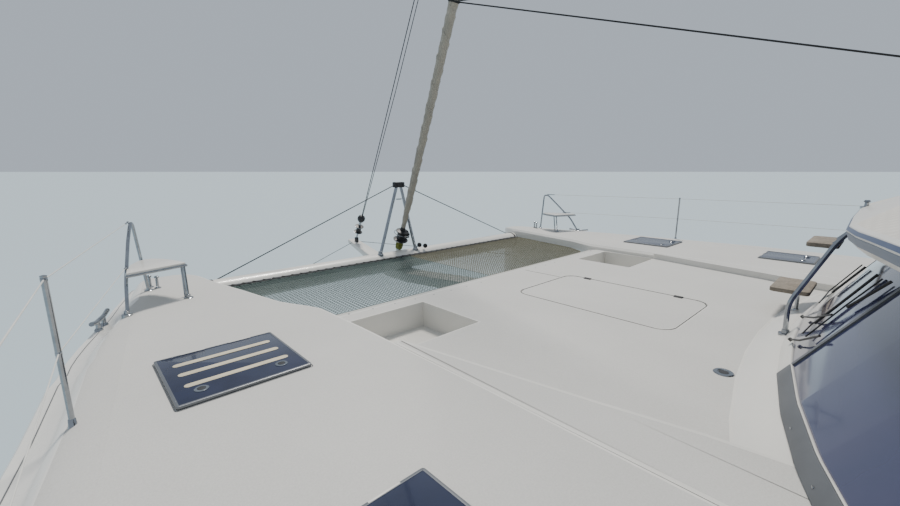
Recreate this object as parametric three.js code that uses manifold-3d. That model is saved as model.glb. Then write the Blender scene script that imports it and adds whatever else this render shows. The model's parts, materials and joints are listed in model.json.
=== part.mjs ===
// A cruising catamaran afloat: two hulls, a bridgedeck with a hollow saloon, nets, guardrails,
// a sloop rig with a stowed mainsail and a furled headsail, rudders, keels and two drives.
// Millimetres. +X is port, +Y is aft, +Z is up, and z = 0 is the waterline.
import * as THREE from 'three';
import { mergeVertices } from 'three/addons/utils/BufferGeometryUtils.js';
import Module from 'manifold-3d';

const wasm = await Module();
wasm.setup();

// Driving dimensions of the whole boat
const LENGTH = 13100;
const BOW_Y = -LENGTH / 2;
const STERN_Y = LENGTH / 2;
const DECK_Z = 1650;
const FOREDECK_Z = DECK_Z - 65;
const SEAT = 0.3;
const RUN = 8;
const SIDES = [['port', 1], ['starboard', -1]];

// Hulls: the centreline of each hull and the inner edge of its deck
const HULL_X = 2750;
const HULL_INNER_X = 1960;

// Bridgedeck between the hulls
const BRIDGE_BOTTOM_Z = 640;
const BRIDGE_FRONT_Y = -4520;
const BRIDGE_AFT_Y = 5100;
const SOLE_Z = 740;
const COCKPIT_SOLE_Z = 900;

// Saloon: hollow walls, windows and roof
const SALOON = { front: -2000, aft: 2300, half: 2060, wall: 60, lean: 0.676, sideLean: 0.2 };
const ROOF_Z = 2300;
const ROOF_AFT_Y = 4750;
const ROOF_HALF = 2060;

// Front beam, longeron, sprit and nets
const BEAM = { y: -6190, z: DECK_Z - 190, radius: 130, half: 2480 };
const NET = { front: BEAM.y + BEAM.radius + 45, aft: BRIDGE_FRONT_Y - 45, z: DECK_Z - 130, thick: 12,
  inner: 105, outer: 2500, corner: 110 };
const SPRIT = { half: 135, height: 130, rootZ: 1450, tipHalf: 75, tipHeight: 70, tipY: -7560,
  tipZ: DECK_Z - 60 };

// Rig
const MAST = { y: -760, footZ: 2760, topZ: 18700, wide: 190, deep: 290 };
const HOUNDS_Z = 15300;
const SPRIT_HEAD_Z = 14050;
const GOOSENECK_Z = 3350;
const BOOM_FRONT_Y = MAST.y + MAST.deep / 2 + 60;
const BOOM = { length: 5150, wide: 170, high: 260, cheek: 26 };
const STAY_FOOT = [0, BEAM.y - 100, BEAM.z + BEAM.radius - 5];

// Deck hatches: two on each hull
const HATCH = { thick: 18, rim: 45 };
const HATCHES = [
  // name, centre x, centre y, size along x, size along y
  ['forward', 2789, -3935, 603, 590],
  ['aft', 2820, -2402, 539, 500],
];

// Foredeck locker lid and step wells
const LID = { half: 453, front: -3880, aft: -2583, corner: 110, thick: 30, groove: 6, rim: 55, depth: 420 };
const WELL = { inner: 1250, outer: 1950, front: -4235, aft: -3600, depth: 210 };

// Rudders: a blade on a stock that turns in a tube through the hull
const RUDDER = { y: 5850, top: 60, bladeTop: -200, foot: -1050, stockFoot: -400, stock: 24, bore: 24.6 };

// Engine bays under lids on the aft decks
const BAY = { front: 3800, aft: 4700, half: 330, bottom: 60, lap: 90, lid: 34 };
const ENGINE_BLOCK = { half: 260, length: 740, high: 620 };

function material(colour, roughness, metalness) {
  return new THREE.MeshStandardMaterial({ color: colour, roughness, metalness });
}

const GELCOAT = [0xe6e2da, 0.35, 0];
const NAVY = [0x1e2b4a, 0.3, 0];
const STAINLESS = [0xb9bdc2, 0.25, 0.9];
const ALLOY = [0xc9ccce, 0.4, 0.8];
const GLASS = [0x39455e, 0.1, 0.2];
const CANVAS = [0xa9a79c, 0.85, 0];
const MESH_CLOTH = [0x8b948b, 0.9, 0];
const TEAK = [0x8a8174, 0.8, 0];
const BRONZE = [0xa0814a, 0.35, 0.8];
const BLACK = [0x1b1c1e, 0.5, 0];
const ENGINE = [0x59606a, 0.6, 0.3];

const boat = new THREE.Group();

// A closed solid for joining and cutting, from any closed geometry.
function merged(geometry) {
  const bare = geometry.clone();
  for (const key of ['normal', 'uv']) {
    if (bare.attributes[key]) bare.deleteAttribute(key);
  }
  return mergeVertices(bare, 1e-3);
}

function solid(geometry) {
  const closed = merged(geometry);
  return new wasm.Manifold(new wasm.Mesh({
    numProp: 3,
    vertProperties: new Float32Array(closed.attributes.position.array),
    triVerts: new Uint32Array(closed.index.array),
  }));
}

// Adds one named piece to the boat, keeping its largest connected body.
function piece(name, body, finish) {
  const [whole] = body.decompose().sort((a, b) => b.volume() - a.volume());
  const mesh = whole.getMesh();
  const geometry = new THREE.BufferGeometry();
  geometry.setAttribute('position', new THREE.BufferAttribute(new Float32Array(mesh.vertProperties), 3));
  geometry.setIndex(new THREE.BufferAttribute(new Uint32Array(mesh.triVerts), 1));
  geometry.computeVertexNormals();
  const item = new THREE.Mesh(geometry, material(...finish));
  item.name = name;
  boat.add(item);
}

function join(...bodies) {
  return bodies.reduce((whole, next) => whole.add(next));
}

// Cuts a neighbour out of a body and leaves a small gap all round it.
function clearOf(body, neighbour, gap = SEAT) {
  const steps = [[gap, 0, 0], [-gap, 0, 0], [0, gap, 0], [0, -gap, 0], [0, 0, gap], [0, 0, -gap]];
  return steps.reduce((rest, step) => rest.subtract(neighbour.translate(step)), body);
}

// A box between two corners.
function block(x0, x1, y0, y1, z0, z1) {
  const geometry = new THREE.BoxGeometry(Math.abs(x1 - x0), y1 - y0, z1 - z0);
  geometry.translate((x0 + x1) / 2, (y0 + y1) / 2, (z0 + z1) / 2);
  return solid(geometry);
}

// An outline drawn in plan, [x, y] points, raised from z0 to z1.
function plan(points, z0, z1) {
  const shape = new THREE.Shape(points.map(([x, y]) => new THREE.Vector2(x, y)));
  const geometry = new THREE.ExtrudeGeometry(shape, { depth: z1 - z0, bevelEnabled: false });
  geometry.translate(0, 0, z0);
  return solid(geometry);
}

// An outline drawn from the side, [y, z] points, from x0 to x1.
function profile(points, x0, x1) {
  const shape = new THREE.Shape(points.map(([y, z]) => new THREE.Vector2(y, z)));
  const geometry = new THREE.ExtrudeGeometry(shape, { depth: x1 - x0, bevelEnabled: false });
  geometry.applyMatrix4(new THREE.Matrix4().makeBasis(
    new THREE.Vector3(0, 1, 0), new THREE.Vector3(0, 0, 1), new THREE.Vector3(1, 0, 0)));
  geometry.translate(x0, 0, 0);
  return solid(geometry);
}

// Rings of points, each as long as the last, skinned into one closed solid. Its ends are fans,
// or strips across the ring where its two halves mirror each other.
function loft(rings, mirrored = false) {
  const count = rings[0].length;
  const index = [];
  for (let r = 0; r + 1 < rings.length; r += 1) {
    for (let i = 0; i < count; i += 1) {
      const a = r * count + i;
      const b = r * count + (i + 1) % count;
      index.push(a, b, b + count, a, b + count, a + count);
    }
  }
  const last = (rings.length - 1) * count;
  const ends = [];
  for (let i = 1; i + 1 < count; i += 1) {
    if (!mirrored) ends.push([0, i + 1, i]);
    else if (i < count / 2) ends.push([i, i - 1, count - i], [i, count - i, count - i - 1]);
  }
  for (const [a, b, c] of ends) {
    if (a === b || b === c || a === c) continue;
    index.push(a, b, c);
    index.push(last + a, last + c, last + b);
  }
  const geometry = new THREE.BufferGeometry();
  geometry.setAttribute('position', new THREE.Float32BufferAttribute(rings.flat(2), 3));
  geometry.setIndex(index);
  const body = solid(geometry);
  if (body.volume() > 0) return body;
  const turned = [];
  for (let i = 0; i < index.length; i += 3) turned.push(index[i], index[i + 2], index[i + 1]);
  geometry.setIndex(turned);
  return solid(geometry);
}

// A straight round bar between two points.
function bar(from, to, radius, sides = 8, endRadius = radius) {
  const a = new THREE.Vector3(...from);
  const b = new THREE.Vector3(...to);
  const geometry = merged(new THREE.CylinderGeometry(endRadius, radius, a.distanceTo(b), sides));
  geometry.applyQuaternion(new THREE.Quaternion().setFromUnitVectors(
    new THREE.Vector3(0, 1, 0), b.clone().sub(a).normalize()));
  const middle = a.add(b).multiplyScalar(0.5);
  geometry.translate(middle.x, middle.y, middle.z);
  return solid(geometry);
}

// A ball at a point.
function ball([x, y, z], radius, sides = 8) {
  const geometry = new THREE.SphereGeometry(radius, sides, Math.max(4, sides / 2));
  geometry.translate(x, y, z);
  return solid(geometry);
}

// Round bars along a line of points, joined by balls at the bends.
function bentBar(points, radius, sides = 8) {
  const parts = [];
  for (let i = 0; i + 1 < points.length; i += 1) {
    parts.push(bar(points[i], points[i + 1], radius, sides));
  }
  for (const point of points.slice(1, -1)) parts.push(ball(point, radius * 1.05, sides));
  return join(...parts);
}

// Hulls. Columns: y, outer half breadth, inner half breadth, half breadth at water, draught, deck z
const HULL_STATIONS = [
  [BOW_Y, 60, 65, 20, 60, DECK_Z - 40],
  [BOW_Y + 60, 170, 170, 45, 330, DECK_Z - 18],
  [BOW_Y + 180, 245, 250, 80, 400, DECK_Z - 4],
  [BOW_Y + 350, 300, 315, 125, 450, DECK_Z],
  [BOW_Y + 700, 400, 375, 190, 490, DECK_Z],
  [BOW_Y + 1140, 528, 475, 260, 530, DECK_Z],
  [BOW_Y + 1700, 690, 590, 345, 568, DECK_Z],
  [BOW_Y + 2070, 772, 750, 390, 590, DECK_Z],
  [BOW_Y + 3700, 1015, 790, 530, 650, DECK_Z],
  [0, 1062, 790, 600, 660, DECK_Z],
  [3000, 1062, 790, 580, 560, DECK_Z],
  [4700, 1015, 790, 520, 380, DECK_Z],
  [5600, 960, 770, 440, 200, DECK_Z],
  [STERN_Y, 880, 700, 360, 20, DECK_Z],
];
const STATION_STEPS = 3;

// A smooth curve through four neighbouring values, between the middle two.
function curve(a, b, c, d, t) {
  return b + 0.5 * t * (c - a + t * (2 * a - 5 * b + 4 * c - d + t * (3 * (b - c) + d - a)));
}

// The hull stations with rings between them, so that the gunwale runs fair.
function fairStations() {
  const rows = [];
  const last = HULL_STATIONS.length - 1;
  for (let i = 0; i < last; i += 1) {
    const [a, b, c, d] = [Math.max(i - 1, 0), i, i + 1, Math.min(i + 2, last)].map((k) => HULL_STATIONS[k]);
    for (let step = 0; step < STATION_STEPS; step += 1) {
      const t = step / STATION_STEPS;
      rows.push(b.map((value, k) => (k === 0
        ? value + (c[0] - value) * t
        : curve(a[k], value, c[k], d[k], t))));
    }
  }
  return [...rows, HULL_STATIONS[last]];
}

// Stern steps. Columns: y where the tread ends, tread height
const STERN_TREADS = [
  [5150, 1200],
  [5600, 880],
  [6050, 580],
  [STERN_Y, 330],
];

// One hull section: deck, soft shoulder, ledge outside it, topside, bottom and inner side.
const SHOULDER = [
  // distance in from the outer edge, drop below the deck
  [330, 0],
  [225, 6],
  [165, 26],
  [128, 62],
  [112, 74],
  [12, 88],
  [0, 100],
];
function hullRing(side, [y, outer, inner, water, draught, deck]) {
  const narrow = Math.min(1, outer / 520);
  const half = [
    [(-inner + 30) * narrow + (-inner + 10) * (1 - narrow), deck],
    ...SHOULDER.map(([inside, drop]) => [outer - inside * narrow, deck - drop]),
    [outer * 0.985, deck * 0.62],
    [water + (outer - water) * 0.35, deck * 0.18],
    [water, 0],
    [water * 0.8, -draught * 0.55],
    [water * 0.4, -draught * 0.9],
    [0, -draught],
    [-water * 0.4, -draught * 0.9],
    [-water * 0.8, -draught * 0.55],
    [-water, 0],
    [-water - (inner - water) * 0.35, deck * 0.18],
    [-inner * 0.985, deck * 0.5],
    [-inner, deck - 30],
  ];
  return half.map(([u, z]) => [side * (HULL_X + u), y, z]);
}

// The hull with its stern steps, hatch openings and engine bay.
function hull(side) {
  let body = loft(fairStations().map((station) => hullRing(side, station)));
  STERN_TREADS.forEach(([, z], i) => {
    const start = i === 0 ? 4950 : STERN_TREADS[i - 1][0];
    const x = side * HULL_X;
    body = body.subtract(block(x - 1100, x + 1100, start, STERN_Y + 50, z, DECK_Z + 100));
  });
  for (const [, x, y, sizeX, sizeY] of HATCHES) {
    const halfX = sizeX / 2 - HATCH.rim;
    const halfY = sizeY / 2 - HATCH.rim;
    body = body.subtract(block(side * x - halfX, side * x + halfX, y - halfY, y + halfY,
      DECK_Z - 60, DECK_Z + 50));
  }
  const x = side * HULL_X;
  const stockTube = bar([x, RUDDER.y, RUDDER.stockFoot], [x, RUDDER.y, RUDDER.top + SEAT], RUDDER.bore, 24);
  return body.subtract(stockTube)
    .subtract(block(x - BAY.half, x + BAY.half, BAY.front, BAY.aft, BAY.bottom, DECK_Z + 50));
}

const HULL_SOLIDS = { 1: hull(1), [-1]: hull(-1) };

// A fin keel under each hull, lofted from its root to its foot.
function keel(side) {
  const ring = (half, front, aft, z) => [
    [half, front, z], [half, (front + aft) / 2, z], [0, aft, z],
    [-half, (front + aft) / 2, z], [-half, front, z], [0, front - 220, z],
  ];
  const body = loft([ring(95, -900, 900, -500), ring(60, -700, 620, -1230)]);
  return clearOf(body.translate([side * HULL_X, 0, 0]), HULL_SOLIDS[side]);
}

// The saloon's outline in plan at one height, drawn in by an inset, its front and sides leaning in.
const SALOON_PLAN = [
  // share of the half breadth, how far aft of the foremost point
  [1, 900],
  [0.985, 560],
  [0.93, 345],
  [0.78, 232],
  [0.6, 135],
  [0.4, 60],
  [0.2, 15],
  [0, 0],
];
function saloonRing(inset, z) {
  const rise = z - DECK_Z;
  const half = SALOON.half - inset - rise * SALOON.sideLean;
  const front = SALOON.front + inset + rise * SALOON.lean;
  const table = [[1, SALOON.aft - inset - front], ...SALOON_PLAN];
  const port = table.map(([share, back]) => [half * share, front + back, z]);
  const starboard = port.slice(0, -1).reverse().map(([x, y]) => [-x, y, z]);
  return [...port, ...starboard];
}

// The plinth round the saloon's front. Columns: inset, height
const PLINTH = [
  [-122, FOREDECK_Z - 1],
  [-95, FOREDECK_Z + 35],
  [-30, DECK_Z],
];

// The step up from the foredeck to the side decks. Columns: half breadth, y
const SIDE_STEP = [
  [HULL_INNER_X - 20, WELL.aft],
  [1830, -3050],
  [1710, -2450],
  [1620, -2050],
  [1560, -1600],
  [1880, SALOON.aft - 600],
];

// How far the bridgedeck runs into the hulls, the plinth's length, the side decks' inner edge,
// the aft coaming's thickness and the breadth of the way aft through it
const BRIDGE = { lap: 120, plinth: 420, sideDeck: 1880, coaming: 90, gateHalf: 500 };

// Bridgedeck: foredeck with its locker and step wells, saloon floor, cockpit sole, side decks.
function bridgedeck() {
  const inner = HULL_INNER_X + BRIDGE.lap;
  const plinthAft = SALOON.front + BRIDGE.plinth;
  const outline = [
    [BRIDGE_FRONT_Y + 140, FOREDECK_Z],
    [BRIDGE_FRONT_Y + 50, FOREDECK_Z - 14],
    [BRIDGE_FRONT_Y, FOREDECK_Z - 60],
    [BRIDGE_FRONT_Y, FOREDECK_Z - 260],
    [BRIDGE_FRONT_Y + 500, BRIDGE_BOTTOM_Z + 160],
    [BRIDGE_FRONT_Y + 1200, BRIDGE_BOTTOM_Z],
    [BRIDGE_AFT_Y - 300, BRIDGE_BOTTOM_Z],
    [BRIDGE_AFT_Y, BRIDGE_BOTTOM_Z + 120],
    [BRIDGE_AFT_Y, COCKPIT_SOLE_Z],
    [SALOON.aft - 60, COCKPIT_SOLE_Z],
    [SALOON.aft - 60, SOLE_Z],
    [plinthAft, SOLE_Z],
    [plinthAft, FOREDECK_Z],
  ];
  let body = profile(outline, -inner, inner);
  const plinth = loft(PLINTH.map(([inset, z]) => saloonRing(inset, z)));
  body = body.add(plinth.intersect(block(-inner, inner, SALOON.front - 400, plinthAft,
    FOREDECK_Z - 20, DECK_Z)));
  const coamingY = BRIDGE_AFT_Y - BRIDGE.coaming;
  body = body.add(block(-inner, inner, coamingY, BRIDGE_AFT_Y, COCKPIT_SOLE_Z - 20, DECK_Z));
  for (const [, side] of SIDES) {
    body = body.add(plan([[side * inner, WELL.aft], ...SIDE_STEP.map(([x, y]) => [side * x, y]),
      [side * BRIDGE.sideDeck, BRIDGE_AFT_Y], [side * inner, BRIDGE_AFT_Y]], SOLE_Z - 20, DECK_Z));
    body = body.subtract(block(side * WELL.inner, side * WELL.outer, WELL.front, WELL.aft,
      FOREDECK_Z - WELL.depth, DECK_Z + 100));
  }
  body = body.subtract(roundedPlan(LID.half + LID.groove, LID.front - LID.groove, LID.aft + LID.groove,
    LID.corner + LID.groove, FOREDECK_Z - LID.thick, DECK_Z + 50));
  body = body.subtract(block(-LID.half + LID.rim, LID.half - LID.rim,
    LID.front + LID.rim, LID.aft - LID.rim, FOREDECK_Z - LID.depth, DECK_Z + 50));
  body = body.subtract(block(-BRIDGE.gateHalf, BRIDGE.gateHalf, coamingY - 10, BRIDGE_AFT_Y + 10,
    COCKPIT_SOLE_Z, DECK_Z + 10));
  return SIDES.reduce((rest, [, side]) => clearOf(rest, HULL_SOLIDS[side]), body);
}

// How far the roof lifts above ROOF_Z. Columns: y, lift
const ROOF_LIFT = [
  [-1850, 0],
  [-1450, 70],
  [-1000, 150],
  [0, 290],
  [1500, 380],
  [ROOF_AFT_Y, 420],
];
function roofLift(y) {
  const [first] = ROOF_LIFT;
  if (y <= first[0]) return first[1];
  const next = ROOF_LIFT.findIndex(([edge]) => edge >= y);
  const [y0, z0] = ROOF_LIFT[next - 1];
  const [y1, z1] = ROOF_LIFT[next];
  return z0 + (z1 - z0) * (y - y0) / (y1 - y0);
}

// All the room under the roof, kept a distance below it.
function underRoof(drop) {
  const line = [[-4000, 0], ...ROOF_LIFT].map(([y, lift]) => [y, ROOF_Z + lift - drop]);
  return profile([...line, [ROOF_AFT_Y, 0], [-4000, 0]], -3000, 3000);
}

// A band of the saloon's skin between two insets, up to the roof.
const SKIN_TOP = 2800;
function saloonSkin(outer, inner, drop) {
  const low = DECK_Z + SEAT;
  const whole = loft([saloonRing(outer, low), saloonRing(outer, SKIN_TOP)]);
  const room = loft([saloonRing(inner, low - 50), saloonRing(inner, SKIN_TOP + 50)]);
  return whole.subtract(room).intersect(underRoof(drop));
}

// The windows: sill height, distance under the roof, how far the glass laps the walls, its thickness,
// the aft end of the side windows, and the seam between the windscreen and them
const WINDOW = { low: DECK_Z + 60, drop: 60, lap: 35, thick: 12, aft: 1500, seam: -1240, seamGap: 6 };
const FRONT_POST = { x: 690, half: 40, aft: -900 };
const WINDOW_POSTS = [
  // y of the post between side windows, half breadth along y
  [-560, 45],
  [520, 45],
];
// The doorway, the bulkhead under the walls, and the rail over it that the door hangs from
const DOORWAY = { half: 560, top: 2580, bulkhead: 50, railFrom: -640, railTo: 1760, railHigh: 40 };

// Saloon walls: a hollow ring with window openings and a door opening aft.
function saloonWalls() {
  const reach = SALOON.half + 500;
  const frontPosts = [-FRONT_POST.x, FRONT_POST.x].map((x) => block(
    x - FRONT_POST.half, x + FRONT_POST.half, SALOON.front - 400, FRONT_POST.aft, 0, SKIN_TOP));
  const sidePosts = WINDOW_POSTS.map(([y, half]) => block(-reach, reach, y - half, y + half, 0, SKIN_TOP));
  const band = block(-reach, reach, SALOON.front - 300, WINDOW.aft, WINDOW.low, SKIN_TOP);
  const openings = band.intersect(underRoof(WINDOW.drop)).subtract(join(...frontPosts, ...sidePosts));
  const door = block(-DOORWAY.half, DOORWAY.half, SALOON.aft - 300, SALOON.aft + 300, 0, DOORWAY.top);
  const bulkheadAft = SALOON.aft - 5;
  const bulkhead = block(-SALOON.half, SALOON.half, bulkheadAft - DOORWAY.bulkhead, bulkheadAft,
    COCKPIT_SOLE_Z + SEAT, DECK_Z + 20);
  const railLow = DOORWAY.top + 20;
  const rail = block(DOORWAY.railFrom, DOORWAY.railTo, SALOON.aft - 20, SALOON.aft + 55,
    railLow, railLow + DOORWAY.railHigh);
  const skin = saloonSkin(0, SALOON.wall, SEAT);
  const walls = clearOf(skin.add(bulkhead).subtract(openings).subtract(door).add(rail), bridgedeck());
  return SIDES.reduce((rest, [, side]) => clearOf(rest, HULL_SOLIDS[side]), walls);
}

// Dark glass bonded over the window openings, split where the panes meet.
function glass(y0, y1, x0, x1) {
  const skin = saloonSkin(-WINDOW.thick - SEAT, -SEAT, WINDOW.drop - WINDOW.lap);
  const pane = skin.intersect(block(x0, x1, y0, y1, WINDOW.low - WINDOW.lap, SKIN_TOP));
  return clearOf(pane, saloonWalls());
}

// The sliding door in the aft bulkhead.
const DOOR = { half: 600, y: SALOON.aft + RUN, thick: 34, low: COCKPIT_SOLE_Z + RUN, high: DOORWAY.top + 12,
  stile: 70, foot: 90, pane: 14, handleX: 485, handleZ: 1600, hangerX: 480 };
function slidingDoor() {
  const frame = block(-DOOR.half, DOOR.half, DOOR.y, DOOR.y + DOOR.thick, DOOR.low, DOOR.high);
  const inside = (y0, y1) => block(-DOOR.half + DOOR.stile, DOOR.half - DOOR.stile, y0, y1,
    DOOR.low + DOOR.foot, DOOR.high - DOOR.stile);
  const pane = inside(DOOR.y + 10, DOOR.y + 10 + DOOR.pane);
  const hole = inside(DOOR.y - 5, DOOR.y + DOOR.thick + 5);
  const handle = block(DOOR.handleX - 15, DOOR.handleX + 15, DOOR.y + 30, DOOR.y + 62,
    DOOR.handleZ - 150, DOOR.handleZ + 150);
  const hangers = [-DOOR.hangerX, DOOR.hangerX].map((x) => block(x - 40, x + 40, DOOR.y, DOOR.y + 30,
    DOOR.high - 5, DOORWAY.top + 20 - SEAT));
  return join(frame.subtract(hole), pane, handle, ...hangers);
}

// Roof and hardtop in one moulding, with a visor over the windscreen.
const ROOF_PLAN = [
  // share of the half breadth, y, how the inset moves it along y
  [1, ROOF_AFT_Y, -1],
  [1, 1500, 0],
  [1, 0, 0],
  [1, -1000, 0],
  [1, -1250, 0.5],
  [0.97, -1450, 1],
  [0.9, -1575, 1],
  [0.81, -1655, 1],
  [0.665, -1715, 1],
  [0.55, -1765, 1],
  [0.42, -1805, 1],
  [0.15, -1818, 1],
];
const ROOF_RING = [
  // height above the underside, inset, crown at the centreline, share of the breadth
  [0, 80, 0, 1],
  [12, 42, 0, 1],
  [50, 14, 0, 1],
  [92, 0, 0, 1],
  [108, 8, 6, 1],
  [128, 220, 62, 1],
  [140, 420, 75, 0.5],
];
// The mast's step on the roof, and the posts that carry the hardtop's aft end
const MAST_STEP = { half: 240, reach: 330 };
const HARDTOP_POST = { footX: 1930, footY: 4490, headX: 1780, headY: 4430, headZ: 2760, radius: 38 };
function roof() {
  const rings = ROOF_RING.map(([rise, inset, crown, share]) => {
    const port = ROOF_PLAN.map(([part, y, move]) => {
      const shifted = y + inset * move;
      const high = ROOF_Z + rise + crown * (1 - part * part * share) + roofLift(shifted);
      return [(ROOF_HALF - inset) * part * share, shifted, high];
    });
    return [...port, ...port.slice().reverse().map(([x, y, z]) => [-x, y, z])];
  });
  const step = block(-MAST_STEP.half, MAST_STEP.half, MAST.y - MAST_STEP.reach, MAST.y + MAST_STEP.reach,
    MAST.footZ - 200, MAST.footZ - SEAT);
  const { footX, footY, headX, headY, headZ, radius } = HARDTOP_POST;
  const posts = SIDES.map(([, side]) => bar(
    [side * footX, footY, DECK_Z - 20], [side * headX, headY, headZ], radius, 8));
  const whole = clearOf(join(loft(rings, true), step, ...posts), bridgedeck());
  return SIDES.reduce((rest, [, side]) => clearOf(rest, HULL_SOLIDS[side]), whole);
}

// Hatch lids and engine lids: slabs with a raised frame, hinged at their front edge.
const LID_RIM = 26;
function lidSlab(x, y, z, sizeX, sizeY, thick, sunk = 3) {
  const body = block(x - sizeX / 2, x + sizeX / 2, y - sizeY / 2, y + sizeY / 2, z + SEAT, z + thick);
  const [halfX, halfY] = [sizeX / 2 - LID_RIM, sizeY / 2 - LID_RIM];
  return body.subtract(block(x - halfX, x + halfX, y - halfY, y + halfY,
    z + thick - sunk, z + thick + 5));
}

// A slab with rounded corners in plan, centred on the boat.
function roundedPlan(half, front, aft, corner, z0, z1) {
  const k = corner * 0.3;
  const port = [[half - corner, front], [half - k, front + k], [half, front + corner],
    [half, aft - corner], [half - k, aft - k], [half - corner, aft]];
  const starboard = [...port].reverse().map(([x, y]) => [-x, y]);
  return plan([...port, ...starboard], z0, z1);
}

// The locker lid, flush in its rebate, bevelled under the starboard edge where it hinges.
function lockerLid() {
  const low = FOREDECK_Z - LID.thick + SEAT;
  const slab = roundedPlan(LID.half, LID.front, LID.aft, LID.corner, low, FOREDECK_Z);
  const below = -LID.thick - 20;
  const wedge = new THREE.Shape([[0, 0], [-20, 0], [-20, below], [-below, below]]
    .map(([x, z]) => new THREE.Vector2(x, z)));
  const bevel = new THREE.ExtrudeGeometry(wedge, { depth: LID.aft - LID.front + 100, bevelEnabled: false });
  bevel.rotateX(Math.PI / 2);
  bevel.translate(-LID.half, LID.aft + 50, FOREDECK_Z);
  return slab.subtract(solid(bevel));
}

// Front beam between the bows.
function frontBeam() {
  const body = bar([-BEAM.half, BEAM.y, BEAM.z], [BEAM.half, BEAM.y, BEAM.z], BEAM.radius, 14);
  return SIDES.reduce((rest, [, side]) => clearOf(rest, HULL_SOLIDS[side]), body);
}

// Longeron under the nets, running on under the beam as the sprit.
function longeron() {
  const underBeam = BEAM.z - BEAM.radius - SEAT;
  const flat = 2 * BEAM.radius;
  const top = [
    [BRIDGE_FRONT_Y - SEAT, SPRIT.rootZ],
    [BEAM.y + flat, underBeam],
    [BEAM.y - flat, underBeam],
  ];
  const low = top.map(([y, z]) => [y, z - SPRIT.height]).reverse();
  const tip = [[SPRIT.tipY, SPRIT.tipZ], [SPRIT.tipY, SPRIT.tipZ - SPRIT.tipHeight]];
  const side = [[SPRIT.half, BRIDGE_FRONT_Y], [SPRIT.half, BEAM.y - BEAM.radius],
    [SPRIT.tipHalf, SPRIT.tipY]];
  const breadth = plan([...side, ...[...side].reverse().map(([x, y]) => [-x, y])], 0, DECK_Z);
  return profile([...top, ...tip, ...low], -SPRIT.half, SPRIT.half).intersect(breadth);
}

// Striker over the beam: two legs, a cap, and the wire from the beam's ends over the cap.
const STRIKER = { feet: [-190, 390], footY: BEAM.y + 40, tube: 22, pad: 45, headX: 28,
  capY: BEAM.y - 60, capZ: DECK_Z + 827, capHalf: 80, capThick: 40, wireX: 2300, wire: 6 };
function striker() {
  const { feet, footY, pad, capY, capZ, capHalf, capThick } = STRIKER;
  const top = BEAM.z + BEAM.radius;
  const sunk = top - 60;
  const legs = feet.map((x) => bar(
    [x, footY, sunk], [Math.sign(x) * STRIKER.headX, capY, capZ], STRIKER.tube, 8));
  const pads = feet.map((x) => block(x - pad, x + pad, footY - pad, footY + pad, sunk, top + 8));
  const cap = block(-capHalf, capHalf, capY - capThick, capY + capThick, capZ - capThick, capZ + capThick);
  const wire = SIDES.map(([, side]) => bar(
    [side * STRIKER.wireX, BEAM.y - 40, top - 10], [side * 20, capY, capZ + 8], STRIKER.wire, 6));
  return clearOf(join(...legs, ...pads, cap, ...wire), frontBeam());
}

// Net panels on each side of the longeron, with lacing webs that reach the beam, deck and hull.
const NET_WEBS = {
  along: [250, 650, 1050, 1450, 1750], across: [-5800, -5400, -5000, -4700], half: 9, gap: 26,
};
function net(side) {
  const { inner, outer, corner } = NET;
  const points = [[inner, NET.front], [outer, NET.front], [outer, NET.aft - 2 * corner],
    [1990, NET.aft - corner],
    [1960, NET.aft - corner * 0.3], [1900, NET.aft], [inner, NET.aft]];
  const sheet = plan(points.map(([x, y]) => [side * x, y]), NET.z, NET.z + NET.thick);
  const { along, across, half, gap } = NET_WEBS;
  const low = NET.z + 2;
  const high = NET.z + NET.thick - 2;
  const lengthwise = along.map((x) => block(side * x - half, side * x + half,
    BEAM.y, BRIDGE_FRONT_Y + 40, low, high));
  const athwart = across.map((y) => block(side * 1700, side * outer, y - half, y + half, low, high));
  const whole = join(clearOf(sheet, HULL_SOLIDS[side], gap), ...lengthwise, ...athwart);
  return clearOf(clearOf(clearOf(whole, HULL_SOLIDS[side]), frontBeam()), bridgedeck());
}

// Guardrails: stanchions with bases, joined by two lifelines from the pulpit to the gate aft.
const RAIL = { height: 615, foot: -75, tube: 13, wire: 5, low: 300, base: 42 };
const STANCHIONS = [
  // y, x
  [-3840, 3415],
  [-1450, 3605],
  [600, 3640],
  [2600, 3640],
  [4300, 3600],
];
// Pulpit feet and seat corners. Columns: x, y
const PULPIT = {
  aft: [3100, -5290], forward: [2890, -5930], apex: [2945, -5890], post: [2690, -5450],
  height: 600, tube: 14, seatZ: 275, seatThick: 28,
  seat: [
    [3066, -5350], [3040, -5560], [2915, -5850], [2860, -5870], [2770, -5790], [2690, -5600],
    [2672, -5510],
  ],
};

function guardrail(side) {
  const point = ([y, x], z) => [side * x, y, DECK_Z + z];
  const parts = [];
  for (const stanchion of STANCHIONS) {
    parts.push(bar(point(stanchion, RAIL.foot), point(stanchion, RAIL.height), RAIL.tube, 8));
    parts.push(bar(point(stanchion, RAIL.foot), point(stanchion, 14), RAIL.base, 10));
  }
  const { aft, apex, height } = PULPIT;
  for (const z of [RAIL.low, RAIL.height - 15]) {
    const share = Math.min(1, (z + 25) / height);
    const start = [aft[1] + (apex[1] - aft[1]) * share + 24, aft[0] + (apex[0] - aft[0]) * share + 8];
    const ends = [start, ...STANCHIONS];
    for (let i = 0; i + 1 < ends.length; i += 1) {
      parts.push(bar(point(ends[i], z), point(ends[i + 1], z), RAIL.wire, 6));
    }
  }
  return clearOf(clearOf(join(...parts), pulpit(side)), HULL_SOLIDS[side]);
}

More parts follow.
